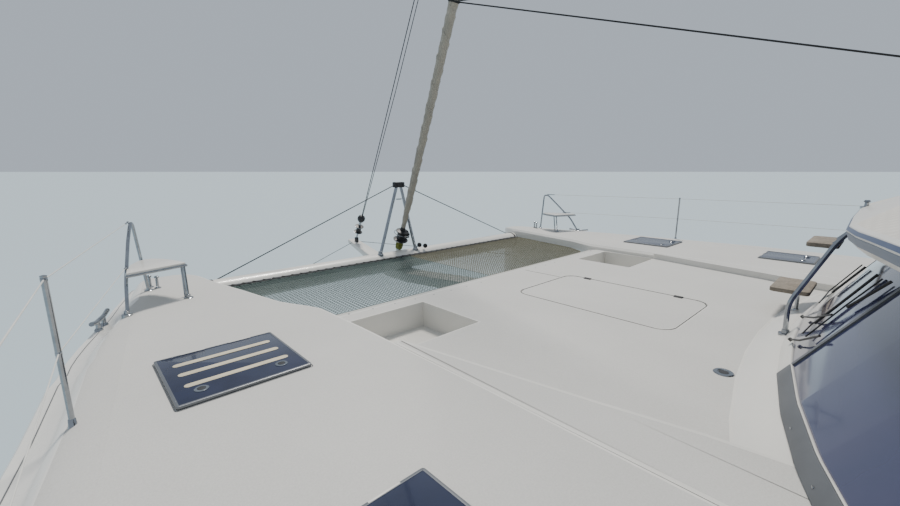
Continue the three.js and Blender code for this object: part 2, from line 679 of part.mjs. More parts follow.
// Bow pulpit: an upturned V of tube over the gunwale, and a rounded seat on its post.
function pulpit(side) {
  const at = ([x, y], z) => [side * x, y, DECK_Z + z];
  const { aft, forward, apex, post, height, tube, seatZ, seatThick } = PULPIT;
  const bend = [apex[0] + 14, apex[1] + 50];
  const rail = bentBar([at(aft, -60), at(bend, height - 8), at([apex[0] - 6, apex[1] - 16], height - 10),
    at(forward, -60)], tube, 8);
  const leg = bar(at(post, -60), at([post[0] + 8, post[1] - 40], seatZ), tube, 8);
  const seat = plan(PULPIT.seat.map(([x, y]) => [side * x, y]), DECK_Z + seatZ - seatThick, DECK_Z + seatZ);
  const bases = [aft, forward, post].map((place) => bar(at(place, -60), at(place, 12), 38, 10));
  return clearOf(join(rail, leg, seat, ...bases), HULL_SOLIDS[side]);
}

// Mast with two pairs of swept spreaders and tangs for the shrouds.
const SPREADERS = [
  // height, half span, sweep aft
  [7600, 1250, 330],
  [12000, 900, 240],
];
const TONGUE_HALF = 45;
function mast() {
  const oval = new THREE.Shape();
  oval.absellipse(0, 0, MAST.wide / 2, MAST.deep / 2, 0, Math.PI * 2, false, 0);
  const settings = { depth: MAST.topZ - MAST.footZ, bevelEnabled: false, curveSegments: 4 };
  const tube = new THREE.ExtrudeGeometry(oval, settings);
  tube.translate(0, MAST.y, MAST.footZ);
  const parts = [solid(tube)];
  for (const [z, half, sweep] of SPREADERS) {
    for (const [, side] of SIDES) {
      parts.push(bar([0, MAST.y, z], [side * half, MAST.y + sweep, z + 60], 42, 8, 26));
    }
  }
  parts.push(block(-70, 70, MAST.y - 330, MAST.y + 260, MAST.topZ - 60, MAST.topZ));
  const tongue = block(-30, 30, MAST.y + MAST.deep / 2 - 20, BOOM_FRONT_Y + 35,
    GOOSENECK_Z - TONGUE_HALF, GOOSENECK_Z + TONGUE_HALF);
  parts.push(tongue);
  return join(...parts);
}

// Boom, hinged at the gooseneck, and the mainsail stowed along it in its cover.
function boom() {
  const aft = BOOM_FRONT_Y + BOOM.length;
  const z = GOOSENECK_Z;
  const start = BOOM_FRONT_Y + 75;
  const half = BOOM.high / 2;
  const body = profile([[start, z - half], [start, z + half],
    [aft, z + half], [aft, z - half + 30], [aft - 250, z - half]], -BOOM.wide / 2, BOOM.wide / 2);
  const cheeks = [z - TONGUE_HALF - SEAT - BOOM.cheek, z + TONGUE_HALF + SEAT].map((low) => block(
    -38, 38, BOOM_FRONT_Y - 20, start + 20, low, low + BOOM.cheek));
  return join(body, ...cheeks);
}

const BUNDLE = [
  // share of the half breadth, share of the height
  [0.7, 0],
  [1, 0.25],
  [0.8, 0.65],
  [0.25, 1],
];
function stowedMainsail() {
  const rings = [
    // y from the boom's front, half breadth, height of the bundle
    [170, 110, 900],
    [1200, 170, 640],
    [3000, 180, 480],
    [4600, 140, 320],
    [5000, 60, 200],
  ].map(([back, half, high]) => {
    const y = BOOM_FRONT_Y + back;
    const z = GOOSENECK_Z + BOOM.high / 2 + SEAT;
    const port = BUNDLE.map(([across, up]) => [half * across, y, z + high * up]);
    return [...port, ...[...port].reverse().map(([x, ...rest]) => [-x, ...rest])];
  });
  return loft(rings);
}

// Furled headsail with its drum, leaning aft along the forestay.
const ROLL = [
  // share of the stay where it starts and ends, radius there, radius at its end
  [0.023, 0.07, 46, 54],
  [0.069, 0.22, 54, 56],
  [0.219, 0.55, 56, 48],
  [0.549, 0.97, 48, 22],
];
const HEADSAIL = { stay: 9, drumFrom: 0.0095, drumTo: 0.0205, drum: 100, toggle: 22, toggleDeep: 85 };
function headsail() {
  const foot = new THREE.Vector3(...STAY_FOOT);
  const head = new THREE.Vector3(0, MAST.y - MAST.deep / 2 - 20, HOUNDS_Z);
  const along = (t) => foot.clone().lerp(head, t).toArray();
  const parts = [
    bar(foot.toArray(), along(1), HEADSAIL.stay, 8),
    bar(along(HEADSAIL.drumFrom), along(HEADSAIL.drumTo), HEADSAIL.drum, 14),
    ...ROLL.map(([from, to, radius, endRadius]) => bar(along(from), along(to), radius, 10, endRadius)),
    block(-HEADSAIL.toggle, HEADSAIL.toggle, foot.y - 45, foot.y + 45,
      foot.z - HEADSAIL.toggleDeep, foot.z + 25),
  ];
  const tang = block(-20, 20, head.y - 30, MAST.y, HOUNDS_Z - 40, HOUNDS_Z + 30);
  return clearOf(clearOf(join(...parts, tang), mast()), frontBeam());
}

// The second furler on the sprit, with its line up to the mast. Shares are of the line's length.
const FURLER = { back: 150, tang: 20, neck: 14, drumFrom: 0.008, drumTo: 0.016, drum: 66, swivel: 20,
  ballAt: 0.026, ball: 58, line: 6 };
function spritFurler() {
  const foot = [0, SPRIT.tipY + FURLER.back, SPRIT.tipZ + 20];
  const head = [MAST.wide / 2 + 15, MAST.y - 40, SPRIT_HEAD_Z];
  const a = new THREE.Vector3(...foot);
  const b = new THREE.Vector3(...head);
  const along = (t) => a.clone().lerp(b, t).toArray();
  const parts = [
    block(-FURLER.tang, FURLER.tang, foot[1] - 40, foot[1] + 40, foot[2] - 70, foot[2] + 20),
    bar(foot, along(FURLER.drumFrom + 0.001), FURLER.neck, 8),
    bar(along(FURLER.drumFrom), along(FURLER.drumTo), FURLER.drum, 12),
    bar(along(FURLER.drumTo - 0.001), along(FURLER.ballAt), FURLER.swivel, 8),
    ball(along(FURLER.ballAt), FURLER.ball, 10),
    bar(along(FURLER.ballAt), along(1), FURLER.line, 6),
  ];
  return clearOf(clearOf(join(...parts), mast()), longeron());
}

// Cap shroud over the spreader tips and lower shroud, joined at the chainplate.
const CHAINPLATE = [3480, 260];
function shrouds(side) {
  const foot = [side * CHAINPLATE[0], CHAINPLATE[1], DECK_Z - 20];
  const tips = SPREADERS.map(([z, half, sweep]) => [side * (half + 12), MAST.y + sweep, z + 60]);
  const cap = [foot, ...tips, [side * 60, MAST.y, HOUNDS_Z]];
  const lower = bar(foot, [side * 60, MAST.y + 40, SPREADERS[0][0] - 150], 6, 6);
  const plate = block(foot[0] - 14, foot[0] + 14, foot[1] - 50, foot[1] + 50, DECK_Z - 90, DECK_Z + 90);
  const body = join(bentBar(cap, 7, 6), lower, plate);
  return clearOf(clearOf(body, mast()), HULL_SOLIDS[side]);
}

// Rudder, drive leg, propeller and engine in each hull.
function rudder(side) {
  const x = side * HULL_X;
  const ring = (half, front, aft, z) => [
    [x + half, front + (aft - front) * 0.3, z], [x, aft, z],
    [x - half, front + (aft - front) * 0.3, z], [x, front, z]];
  const blade = loft([ring(38, RUDDER.y - 120, RUDDER.y + 330, RUDDER.bladeTop),
    ring(22, RUDDER.y - 60, RUDDER.y + 240, RUDDER.foot)]);
  return blade.add(bar([x, RUDDER.y, RUDDER.stockFoot], [x, RUDDER.y, RUDDER.top], RUDDER.stock, 24));
}

const DRIVE = { y: 3350, shaftZ: -920 };
function driveLeg(side) {
  const x = side * HULL_X;
  const ring = (half, front, aft, z) => [
    [x + half, (front + aft) / 2, z], [x, aft, z], [x - half, (front + aft) / 2, z], [x, front, z]];
  const leg = loft([ring(80, DRIVE.y - 190, DRIVE.y + 150, -380),
    ring(45, DRIVE.y - 130, DRIVE.y + 110, DRIVE.shaftZ)]);
  const pod = bar([x, DRIVE.y - 230, DRIVE.shaftZ], [x, DRIVE.y + 180, DRIVE.shaftZ], 62, 12, 48);
  return clearOf(leg.add(pod), HULL_SOLIDS[side]);
}

const PROPELLER_Y = DRIVE.y + 180 + SEAT;
function propeller(side) {
  const x = side * HULL_X;
  const hub = bar([x, PROPELLER_Y, DRIVE.shaftZ], [x, PROPELLER_Y + 110, DRIVE.shaftZ], 46, 12, 30);
  const blades = [0, 1, 2].map((i) => {
    const geometry = new THREE.BoxGeometry(90, 16, 190);
    geometry.rotateZ(side * 0.45);
    geometry.translate(0, 0, 120);
    geometry.rotateY(i * Math.PI * 2 / 3);
    geometry.translate(x, PROPELLER_Y + 58, DRIVE.shaftZ);
    return solid(geometry);
  });
  return join(hub, ...blades);
}

// Cockpit: benches, helm console, wheel and helm seat.
function cockpitBench() {
  const outline = [[1870, 2500], [1870, 4980], [-900, 4980], [-900, 4480], [1330, 4480], [1330, 2500]];
  const base = plan(outline, COCKPIT_SOLE_Z + SEAT, COCKPIT_SOLE_Z + 420);
  return SIDES.reduce((rest, [, side]) => clearOf(rest, HULL_SOLIDS[side]), clearOf(base, bridgedeck()));
}

const HELM = { x: -1480, half: 330, wheelY: 2860, wheelZ: 1850, radius: 340, hub: 45,
  seatHalf: 300, seatY: 3350 };
function helmConsole() {
  const side = [[2450, COCKPIT_SOLE_Z + SEAT], [2450, 2080], [2560, 2080], [2740, 1900],
    [2740, COCKPIT_SOLE_Z + SEAT]];
  const body = profile(side, HELM.x - HELM.half, HELM.x + HELM.half);
  const shaft = bar([HELM.x, 2600, HELM.wheelZ], [HELM.x, HELM.wheelY - 44 - SEAT, HELM.wheelZ], 26, 12);
  return clearOf(body.add(shaft), bridgedeck());
}

function wheel() {
  const rim = new THREE.TorusGeometry(HELM.radius, 15, 8, 32);
  rim.rotateX(Math.PI / 2);
  rim.translate(HELM.x, HELM.wheelY, HELM.wheelZ);
  const hub = bar([HELM.x, HELM.wheelY - 44, HELM.wheelZ], [HELM.x, HELM.wheelY + 22, HELM.wheelZ],
    HELM.hub, 12);
  const spokes = [0, 1, 2, 3, 4].map((i) => {
    const angle = Math.PI / 2 + i * Math.PI * 2 / 5;
    const [across, up] = [Math.cos(angle) * HELM.radius, Math.sin(angle) * HELM.radius];
    return bar([HELM.x, HELM.wheelY, HELM.wheelZ],
      [HELM.x + across, HELM.wheelY, HELM.wheelZ + up], 9, 8);
  });
  return join(solid(rim), hub, ...spokes);
}

function helmSeat() {
  const [x0, x1] = [HELM.x - HELM.seatHalf, HELM.x + HELM.seatHalf];
  const base = block(x0, x1, HELM.seatY, HELM.seatY + 350, COCKPIT_SOLE_Z + SEAT, COCKPIT_SOLE_Z + 520);
  const back = block(x0, x1, HELM.seatY + 290, HELM.seatY + 370,
    COCKPIT_SOLE_Z + 500, COCKPIT_SOLE_Z + 950);
  return clearOf(base.add(back), bridgedeck());
}

// Teak steps up to the roof and their handrail.
const STEPS = [
  // centre x, centre y, top above the hull deck, size along x, size along y
  [-700, -2105, 150, 450, 235],
  [-790, -2020, 500, 450, 210],
];
const STEP = { thick: 32, tube: 14, postY: 25, bracketX: 150, bracketEnd: [-1745, 40] };
function stepPad([x, y, rise, sizeX, sizeY]) {
  const z = DECK_Z + rise;
  return block(x - sizeX / 2, x + sizeX / 2, y - sizeY / 2, y + sizeY / 2, z - STEP.thick, z);
}

// The lower step stands on a post and the upper one hangs from two brackets under the visor.
function lowerStep() {
  const [x, y, rise] = STEPS[0];
  const post = bar([x, y - STEP.postY, FOREDECK_Z + SEAT], [x, y - STEP.postY, DECK_Z + rise - 10],
    STEP.tube, 8);
  return clearOf(stepPad(STEPS[0]).add(post), bridgedeck());
}

function upperStep() {
  const [x, y, rise] = STEPS[1];
  const [endY, endRise] = STEP.bracketEnd;
  const brackets = [-1, 1].map((way) => x + way * STEP.bracketX).map((at) => bar(
    [at, y + 60, DECK_Z + rise - STEP.thick / 2], [at, endY, ROOF_Z + endRise], STEP.tube, 8));
  return clearOf(join(stepPad(STEPS[1]), ...brackets), roof());
}

// Columns: y, height above the hull deck, at the rail's x
const HANDRAIL = { x: 100, tube: 14, line: [[-2042, -20], [-2050, 190], [-1862, 610], [-1800, 700]] };
function handrail() {
  const rail = bentBar(HANDRAIL.line.map(([y, z]) => [HANDRAIL.x, y, DECK_Z + z]), HANDRAIL.tube, 8);
  return clearOf(clearOf(rail, bridgedeck()), roof());
}

function build() {
  for (const [name, side] of SIDES) {
    piece(`${name}_hull`, HULL_SOLIDS[side], GELCOAT);
    piece(`${name}_keel`, keel(side), GELCOAT);
    piece(`${name}_net`, net(side), MESH_CLOTH);
    piece(`${name}_pulpit`, pulpit(side), STAINLESS);
    piece(`${name}_guardrail`, guardrail(side), STAINLESS);
    piece(`${name}_shrouds`, shrouds(side), STAINLESS);
    piece(`${name}_rudder`, rudder(side), GELCOAT);
    piece(`${name}_drive_leg`, driveLeg(side), BLACK);
    piece(`${name}_propeller`, propeller(side), BRONZE);
    const x = side * HULL_X;
    piece(`${name}_engine`, block(x - ENGINE_BLOCK.half, x + ENGINE_BLOCK.half, BAY.front + 60,
      BAY.front + 60 + ENGINE_BLOCK.length, BAY.bottom + SEAT, BAY.bottom + ENGINE_BLOCK.high), ENGINE);
    piece(`${name}_engine_lid`, lidSlab(x, (BAY.front + BAY.aft) / 2, DECK_Z, BAY.half * 2 + BAY.lap,
      BAY.aft - BAY.front + BAY.lap, BAY.lid), GELCOAT);
    for (const [place, hatchX, y, sizeX, sizeY] of HATCHES) {
      piece(`${name}_${place}_hatch`, lidSlab(side * hatchX, y, DECK_Z, sizeX, sizeY, HATCH.thick), NAVY);
    }
  }
  piece('bridgedeck', bridgedeck(), GELCOAT);
  piece('saloon_walls', saloonWalls(), GELCOAT);
  const beyond = SALOON.half + 1000;
  const sideFront = WINDOW.seam + WINDOW.seamGap;
  piece('windscreen', glass(SALOON.front - 1000, WINDOW.seam, -beyond, beyond), GLASS);
  piece('port_side_window', glass(sideFront, WINDOW.aft + 60, 0, beyond), GLASS);
  piece('starboard_side_window', glass(sideFront, WINDOW.aft + 60, -beyond, 0), GLASS);
  piece('saloon_door', slidingDoor(), GLASS);
  piece('roof', roof(), GELCOAT);
  piece('locker_lid', lockerLid(), GELCOAT);
  piece('front_beam', frontBeam(), GELCOAT);
  piece('longeron', longeron(), GELCOAT);
  piece('striker', striker(), STAINLESS);
  piece('mast', mast(), ALLOY);
  piece('boom', boom(), ALLOY);
  piece('stowed_mainsail', stowedMainsail(), CANVAS);
  piece('furled_headsail', headsail(), CANVAS);
  piece('sprit_furler', spritFurler(), BLACK);
  piece('cockpit_bench', cockpitBench(), GELCOAT);
  piece('helm_console', helmConsole(), GELCOAT);
  piece('steering_wheel', wheel(), STAINLESS);
  piece('helm_seat', helmSeat(), GELCOAT);
  piece('lower_roof_step', lowerStep(), TEAK);
  piece('upper_roof_step', upperStep(), TEAK);
  piece('roof_handrail', handrail(), STAINLESS);
}

build();

export default boat;
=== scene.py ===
"""Looks of a cruising sailing catamaran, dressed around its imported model.

Metres, in the frame of the model: +X is port, +Y is aft, +Z is up, z = 0 is the waterline.
"""

from __future__ import annotations

import json
import logging
import math
from collections.abc import Callable, Iterator, Sequence
from contextlib import contextmanager
from dataclasses import dataclass, field
from enum import Enum

import bmesh
import bpy
from mathutils import Matrix, Vector

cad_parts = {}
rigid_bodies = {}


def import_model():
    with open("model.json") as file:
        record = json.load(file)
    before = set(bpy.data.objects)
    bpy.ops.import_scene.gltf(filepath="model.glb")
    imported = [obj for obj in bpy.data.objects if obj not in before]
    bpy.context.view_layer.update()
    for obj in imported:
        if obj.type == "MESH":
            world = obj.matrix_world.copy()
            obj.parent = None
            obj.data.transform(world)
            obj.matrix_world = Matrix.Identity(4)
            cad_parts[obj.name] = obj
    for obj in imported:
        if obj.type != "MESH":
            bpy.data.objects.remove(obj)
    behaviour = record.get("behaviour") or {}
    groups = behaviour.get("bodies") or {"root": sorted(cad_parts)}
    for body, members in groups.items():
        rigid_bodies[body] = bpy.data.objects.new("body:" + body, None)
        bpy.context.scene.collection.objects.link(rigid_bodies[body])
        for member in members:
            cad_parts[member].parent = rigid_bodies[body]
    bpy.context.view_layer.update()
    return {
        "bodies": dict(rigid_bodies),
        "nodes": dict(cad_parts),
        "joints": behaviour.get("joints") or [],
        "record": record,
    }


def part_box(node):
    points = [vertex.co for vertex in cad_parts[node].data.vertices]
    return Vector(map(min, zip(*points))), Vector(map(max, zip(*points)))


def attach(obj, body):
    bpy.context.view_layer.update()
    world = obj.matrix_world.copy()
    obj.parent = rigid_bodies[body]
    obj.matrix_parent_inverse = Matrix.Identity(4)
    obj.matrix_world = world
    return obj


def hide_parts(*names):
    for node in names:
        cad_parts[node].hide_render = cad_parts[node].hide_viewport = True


log = logging.getLogger("catamaran")

Object = bpy.types.Object
Point = tuple[float, float, float]
Plan = tuple[float, float]

DECK = 1.65
FOREDECK = 1.585
COCKPIT_SOLE = 0.9
HULL_X = 2.75
IMAGE_WIDTH = 900
SENSOR_MM = 36.0
WELD = 1e-5
SMOOTH_ANGLE = math.radians(34)
# A face counts as level, or as square to an axis, where its normal's share of that axis is over this.
FLAT = 0.99


class Pattern(Enum):
    """How a finish's surface was made, which sets its fine relief."""

    MOULDED = "moulded"
    GRIT = "grit"
    DIAMOND = "diamond"
    BRUSHED = "brushed"
    STRANDED = "stranded"
    WOVEN = "woven"
    GRAIN = "grain"
    CAST = "cast"


class Side(Enum):
    """The two sides of the boat."""

    PORT = 1
    STARBOARD = -1

    @property
    def label(self) -> str:
        """The side's name, as the nodes and bodies are named."""
        return self.name.lower()


def linear(hex_code: str) -> tuple[float, float, float, float]:
    """Turns an sRGB hex colour to linear.

    Args:
        hex_code: Six hex digits.

    Returns:
        Linear red, green and blue, and 1 for alpha.
    """
    parts = [int(hex_code[i:i + 2], 16) / 255 for i in (0, 2, 4)]
    red, green, blue = (p / 12.92 if p <= 0.04045 else ((p + 0.055) / 1.055) ** 2.4 for p in parts)
    return red, green, blue, 1.0


def add_node(tree: bpy.types.NodeTree, kind: str, inputs: dict | None = None,
             **settings: object) -> bpy.types.Node:
    """Adds a shader node with its settings, values and links.

    Args:
        tree: The material's node tree.
        kind: The node's type.
        inputs: Values or source sockets by input name or number.
        **settings: Properties of the node.

    Returns:
        The new node.
    """
    node = tree.nodes.new(kind)
    for key, value in settings.items():
        setattr(node, key, value)
    for key, value in (inputs or {}).items():
        if isinstance(value, bpy.types.NodeSocket):
            tree.links.new(value, node.inputs[key])
        else:
            node.inputs[key].default_value = value
    return node


@dataclass(frozen=True)
class Finish:
    """One surface finish.

    colour and second are sRGB; the colour wanders between them in patches of patch_mm, by share.
    scale_mm is the size of the relief's pattern and relief_mm its depth. Brushed lines and grain run
    along one axis. slot names the record's material slot for the pieces that have the finish; it is not used.
    """

    name: str
    colour: str
    second: str
    roughness: float
    pattern: Pattern = Pattern.MOULDED
    scale_mm: float = 3.0
    relief_mm: float = 0.02
    metallic: float = 0.0
    coat: float = 0.0
    sheen: float = 0.0
    patch_mm: float = 500.0
    share: float = 0.6
    spread: float = 0.06
    along: int = 2
    slot: str = ""

    def relief(self, tree: bpy.types.NodeTree, place: bpy.types.NodeSocket) -> bpy.types.NodeSocket:
        """Builds the height pattern of the finish.

        Args:
            tree: The material's node tree.
            place: The Object coordinates.

        Returns:
            The height's socket.
        """
        scale = 1000 / self.scale_mm
        if self.pattern in (Pattern.MOULDED, Pattern.CAST, Pattern.GRIT):
            detail = {Pattern.MOULDED: 2, Pattern.CAST: 5, Pattern.GRIT: 1}[self.pattern]
            return add_node(tree, "ShaderNodeTexNoise",
                            {"Vector": place, "Scale": scale, "Detail": detail}).outputs[0]
        if self.pattern in (Pattern.BRUSHED, Pattern.GRAIN):
            stretch = [1.0, 1.0, 1.0]
            stretch[self.along] = 0.03
            lengthened = add_node(tree, "ShaderNodeMapping", {"Vector": place, "Scale": stretch}).outputs[0]
            return add_node(tree, "ShaderNodeTexNoise",
                            {"Vector": lengthened, "Scale": scale, "Detail": 4, "Roughness": 0.65}).outputs[0]
        if self.pattern is Pattern.STRANDED:
            return add_node(tree, "ShaderNodeTexWave",
                            {"Vector": place, "Scale": scale / math.tau, "Distortion": 0.2},
                            bands_direction="DIAGONAL").outputs["Fac"]
        turn = math.radians(45 if self.pattern is Pattern.DIAMOND else 0)
        turned = add_node(tree, "ShaderNodeMapping", {"Vector": place, "Rotation": (0, 0, turn)}).outputs[0]
        axes = ("X", "Y") if self.pattern is Pattern.DIAMOND else ("X", "Z")
        waves = [add_node(tree, "ShaderNodeTexWave", {"Vector": turned, "Scale": scale / math.tau},
                          bands_direction=axis).outputs["Fac"] for axis in axes]
        return add_node(tree, "ShaderNodeMath", {0: waves[0], 1: waves[1]}, operation="MULTIPLY").outputs[0]

    def material(self) -> bpy.types.Material:
        """Builds the finish's material, or gives the one that is already there.

        Returns:
            The material.
        """
        known = bpy.data.materials.get(self.name)
        if known:
            return known
        made = bpy.data.materials.new(self.name)
        made.use_nodes = True
        tree = made.node_tree
        shader = tree.nodes["Principled BSDF"]
        place = add_node(tree, "ShaderNodeTexCoord").outputs["Object"]
        patches = add_node(tree, "ShaderNodeTexNoise",
                           {"Vector": place, "Scale": 1000 / self.patch_mm, "Detail": 4, "Roughness": 0.6})
        spread = add_node(tree, "ShaderNodeMapRange",
                          {"Value": patches.outputs[0], "From Min": 0.35, "From Max": 0.7,
                           "To Max": self.share})
        mixed = add_node(tree, "ShaderNodeMix", {0: spread.outputs[0]}, data_type="RGBA")
        mixed.inputs[6].default_value = linear(self.colour)
        mixed.inputs[7].default_value = linear(self.second)
        height = self.relief(tree, place)
        tinted = self.tint(tree, mixed.outputs[2], height, place)
        tree.links.new(tinted, shader.inputs["Base Color"])
        rough = add_node(tree, "ShaderNodeMapRange", {
            "Value": patches.outputs[0],
            "To Min": max(0.02, self.roughness - self.spread), "To Max": self.roughness + self.spread})
        tree.links.new(rough.outputs[0], shader.inputs["Roughness"])
        bump = add_node(tree, "ShaderNodeBump",
                        {"Height": height, "Distance": self.relief_mm / 1000, "Strength": 1.0})
        tree.links.new(bump.outputs[0], shader.inputs["Normal"])
        shader.inputs["Metallic"].default_value = self.metallic
        shader.inputs["Coat Weight"].default_value = self.coat
        shader.inputs["Coat Roughness"].default_value = 0.06
        shader.inputs["Sheen Weight"].default_value = self.sheen
        return made

    def tint(self, tree: bpy.types.NodeTree, colour: bpy.types.NodeSocket, height: bpy.types.NodeSocket,
             place: bpy.types.NodeSocket) -> bpy.types.NodeSocket:
        """Paints a little shade into the hollows of the relief, so that it shows in flat light; for grain,
        the darker hollows are also the wood's own open grain.

        Args:
            tree: The material's node tree.
            colour: The colour so far.
            height: The relief.
            place: The Object coordinates.

        Returns:
            The colour's socket.
        """
        # How much darker the hollows are painted: painted shade, and for grain also the wood's own darker
        # grain.
        depth = {Pattern.GRIT: 0.1, Pattern.DIAMOND: 0.12, Pattern.WOVEN: 0.25, Pattern.GRAIN: 0.45,
                 Pattern.STRANDED: 0.35}.get(self.pattern, 0.0)
        if not depth:
            return colour
        shade = add_node(tree, "ShaderNodeMapRange",
                         {"Value": height, "From Min": 0.25, "From Max": 0.75, "To Min": 1 - depth,
                          "To Max": 1.0})
        return add_node(tree, "ShaderNodeMix", {0: 1.0, 6: colour, 7: shade.outputs[0]},
                        data_type="RGBA", blend_type="MULTIPLY").outputs[2]


@dataclass(frozen=True)
class HullFinish(Finish):
    """Gelcoat with a boot stripe and antifouling paint below it, by height."""

    stripe: str = "2A3550"
    antifouling: str = "23292F"
    bands: tuple[float, float, float] = (0.045, 0.075, 0.15)

    def tint(self, tree: bpy.types.NodeTree, colour: bpy.types.NodeSocket, height: bpy.types.NodeSocket,
             place: bpy.types.NodeSocket) -> bpy.types.NodeSocket:
        """Paints the stripe and the underwater paint over the gelcoat.

        Args:
            tree: The material's node tree.
            colour: The colour so far.
            height: The relief.
            place: The Object coordinates.

        Returns:
            The colour's socket.
        """
        level = add_node(tree, "ShaderNodeSeparateXYZ", {0: place}).outputs["Z"]
        paint, gap, top = self.bands
        stripe = colour
        for edge, shade in ((top, self.stripe), (gap, self.colour), (paint, self.antifouling)):
            below = add_node(tree, "ShaderNodeMath", {0: level, 1: edge}, operation="LESS_THAN").outputs[0]
            layer = add_node(tree, "ShaderNodeMix", {0: below, 6: stripe}, data_type="RGBA")
            layer.inputs[7].default_value = linear(shade)
            stripe = layer.outputs[2]
        return stripe


# Polyester gelcoat sprayed in a mould: glossy, cream-white, a little chalky in patches.
GELCOAT = Finish("gelcoat_moulded", "DDDBD5", "D1CFC8", 0.32, relief_mm=0.01, scale_mm=9, coat=0.25,
                 patch_mm=700, slot="white_gelcoat")
HULL_GELCOAT = HullFinish("gelcoat_hull_moulded", "E4E2DC", "D8D6CF", 0.28, relief_mm=0.01, scale_mm=9,
                          coat=0.3)
# Gelcoat with moulded-in grip: matt and greyer, its 2 mm grain drawn at 7 mm so that it shows.
NONSKID = Finish("gelcoat_nonskid_moulded", "C9C8C4", "BDBCB8", 0.62, Pattern.GRIT, 7, 0.5, patch_mm=900,
                 share=0.5)
# The roof's grip is a raised diamond of 12 mm, drawn at 24 mm so that it shows.
ROOF_NONSKID = Finish("gelcoat_diamond_moulded", "D3D0C9", "C6C3BC", 0.55, Pattern.DIAMOND, 24, 1.0,
                      patch_mm=900)
# Stainless tube, polished: bright, with faint smears of salt.
STAINLESS = Finish("stainless_steel_polished", "A6AAAF", "83878C", 0.16, Pattern.CAST, 40, 0.01, metallic=1,
                   patch_mm=60, spread=0.1, slot="stainless_tube")
# One by nineteen stainless wire: the lay of its strands catches light in fine slanting lines.
WIRE = Finish("stainless_wire_stranded", "BDBFC1", "9EA1A5", 0.3, Pattern.STRANDED, 6, 0.3, metallic=0.9,
              patch_mm=80, slot="stainless_wire")
# The striker's legs: stainless tube with a brushed, salted skin that looks duller than the rails.
BRUSHED_STEEL = Finish("stainless_steel_brushed", "A3A9B0", "83888F", 0.34, Pattern.BRUSHED, 4, 0.02,
                       metallic=0.9,
                       patch_mm=70, slot="stainless_tube")
# Wire painted dark grey and dull: the dark grey is painted shade, for the shaded side of the wires.
SHADE_DARK_WIRE = Finish("stainless_wire_tarnished", "4A4C50", "2F3136", 0.5, Pattern.STRANDED, 6, 0.3,
                   metallic=0.6,
                   patch_mm=80, slot="stainless_wire")
# Lifelines are wire in a white plastic sleeve, which looks soft and pale.
SLEEVED_WIRE = Finish("pvc_sleeve_extruded", "DAD9D4", "C2C1BC", 0.4, relief_mm=0.02, patch_mm=150,
                      slot="stainless_wire")
# Mast and boom: aluminium extrusions, anodised, with fine lines along them.
MAST_ALLOY = Finish("anodised_aluminium_extruded", "C4C7C9", "B2B5B8", 0.38, Pattern.BRUSHED, 3, 0.02,
                    metallic=0.85, slot="mast_alloy")
FRAME_ALLOY = Finish("anodised_aluminium_frame", "85888C", "6B6E72", 0.35, Pattern.BRUSHED, 3, 0.02,
                     metallic=0.8,
                     along=0, slot="mast_alloy")
# Cast acrylic hatch panes, navy: deep, glossy, dusted with dried salt.
NAVY_ACRYLIC = Finish("navy_acrylic_cast", "111833", "1B2546", 0.22, relief_mm=0.004, coat=0.5, patch_mm=140,
                      share=0.5, slot="navy_acrylic")
# Bonded windows: grey-violet tinted acrylic that reflects the sky.
TINTED_GLASS = Finish("tinted_acrylic_cast", "2B3354", "45415F", 0.1, relief_mm=0.004, coat=1, patch_mm=700,
                      slot="tinted_glass")
# Dark grey painted trim round the glass. The bluer grey band on the roof's edge is painted shade, under the
# overhang above it.
TRIM_GREY = Finish("grey_paint_sprayed", "55585C", "66696D", 0.5, relief_mm=0.01, patch_mm=200,
                   slot="painted_alloy_grey")
LIP_SHADE_BLUE = Finish("blue_grey_paint_sprayed", "5E6B80", "6C788B", 0.45, relief_mm=0.01, patch_mm=200,
                     slot="painted_alloy_grey")
TRACK_GREY = Finish("grey_track_anodised", "5C5F63", "707377", 0.5, Pattern.BRUSHED, 4, 0.02, along=0,
                    patch_mm=90, slot="painted_alloy_grey")
# The slate band on the roof's edge is painted shade, in the groove below its top edge.
GROOVE_SHADE_SLATE = Finish("slate_paint_sprayed", "44506E", "55607A", 0.4, relief_mm=0.01, patch_mm=200,
                   slot="painted_alloy_grey")
# Self-adhesive grip strips: cream, sandy.
GRIP_STRIP = Finish("grip_tape_gritted", "D3CAB2", "BDB49C", 0.8, Pattern.GRIT, 4, 0.3, patch_mm=90,
                    slot="deck_nonskid")
# Polyester sailcloth with its sun strip, furled: grey-cream, dull.
SAILCLOTH = Finish("polyester_sailcloth_woven", "B5AE9F", "98948A", 0.75, Pattern.WOVEN, 6, 0.15, sheen=0.2,
                   patch_mm=220, slot="sailcloth")
COVER_CANVAS = Finish("acrylic_canvas_woven", "8E8F8C", "7C7E7C", 0.85, Pattern.WOVEN, 5, 0.2, sheen=0.3,
                      patch_mm=400, slot="cover_canvas")
# Knotless polyester net: dull grey-green to port, sun-bleached beige to starboard.
NET_GREEN = Finish("polyester_net_braided", "5A6A66", "4A5956", 0.85, Pattern.STRANDED, 5, 0.2, patch_mm=300,
                   slot="net_cord")
NET_BEIGE = Finish("polyester_net_bleached", "74725F", "625F50", 0.85, Pattern.STRANDED, 5, 0.2, patch_mm=300,
                   slot="net_cord")
BLACK_ROPE = Finish("polyester_rope_braided", "1D1E20", "34363A", 0.75, Pattern.STRANDED, 5, 0.3, patch_mm=60,
                    slot="black_fitting")
LASHING_ROPE = Finish("polyester_lashing_braided", "8A8E3C", "5F6A2E", 0.75, Pattern.STRANDED, 4, 0.3,
                      patch_mm=40, slot="net_cord")
# Teak left to the weather: silver-brown, open grain.
TEAK = Finish("teak_planed_weathered", "9A9082", "6E665B", 0.8, Pattern.GRAIN, 5, 0.5, patch_mm=60, along=0,
              slot="weathered_teak")
BRONZE = Finish("bronze_cast", "8C7344", "6E5C3C", 0.4, Pattern.CAST, 12, 0.1, metallic=0.85, patch_mm=60,
                slot="cast_bronze")
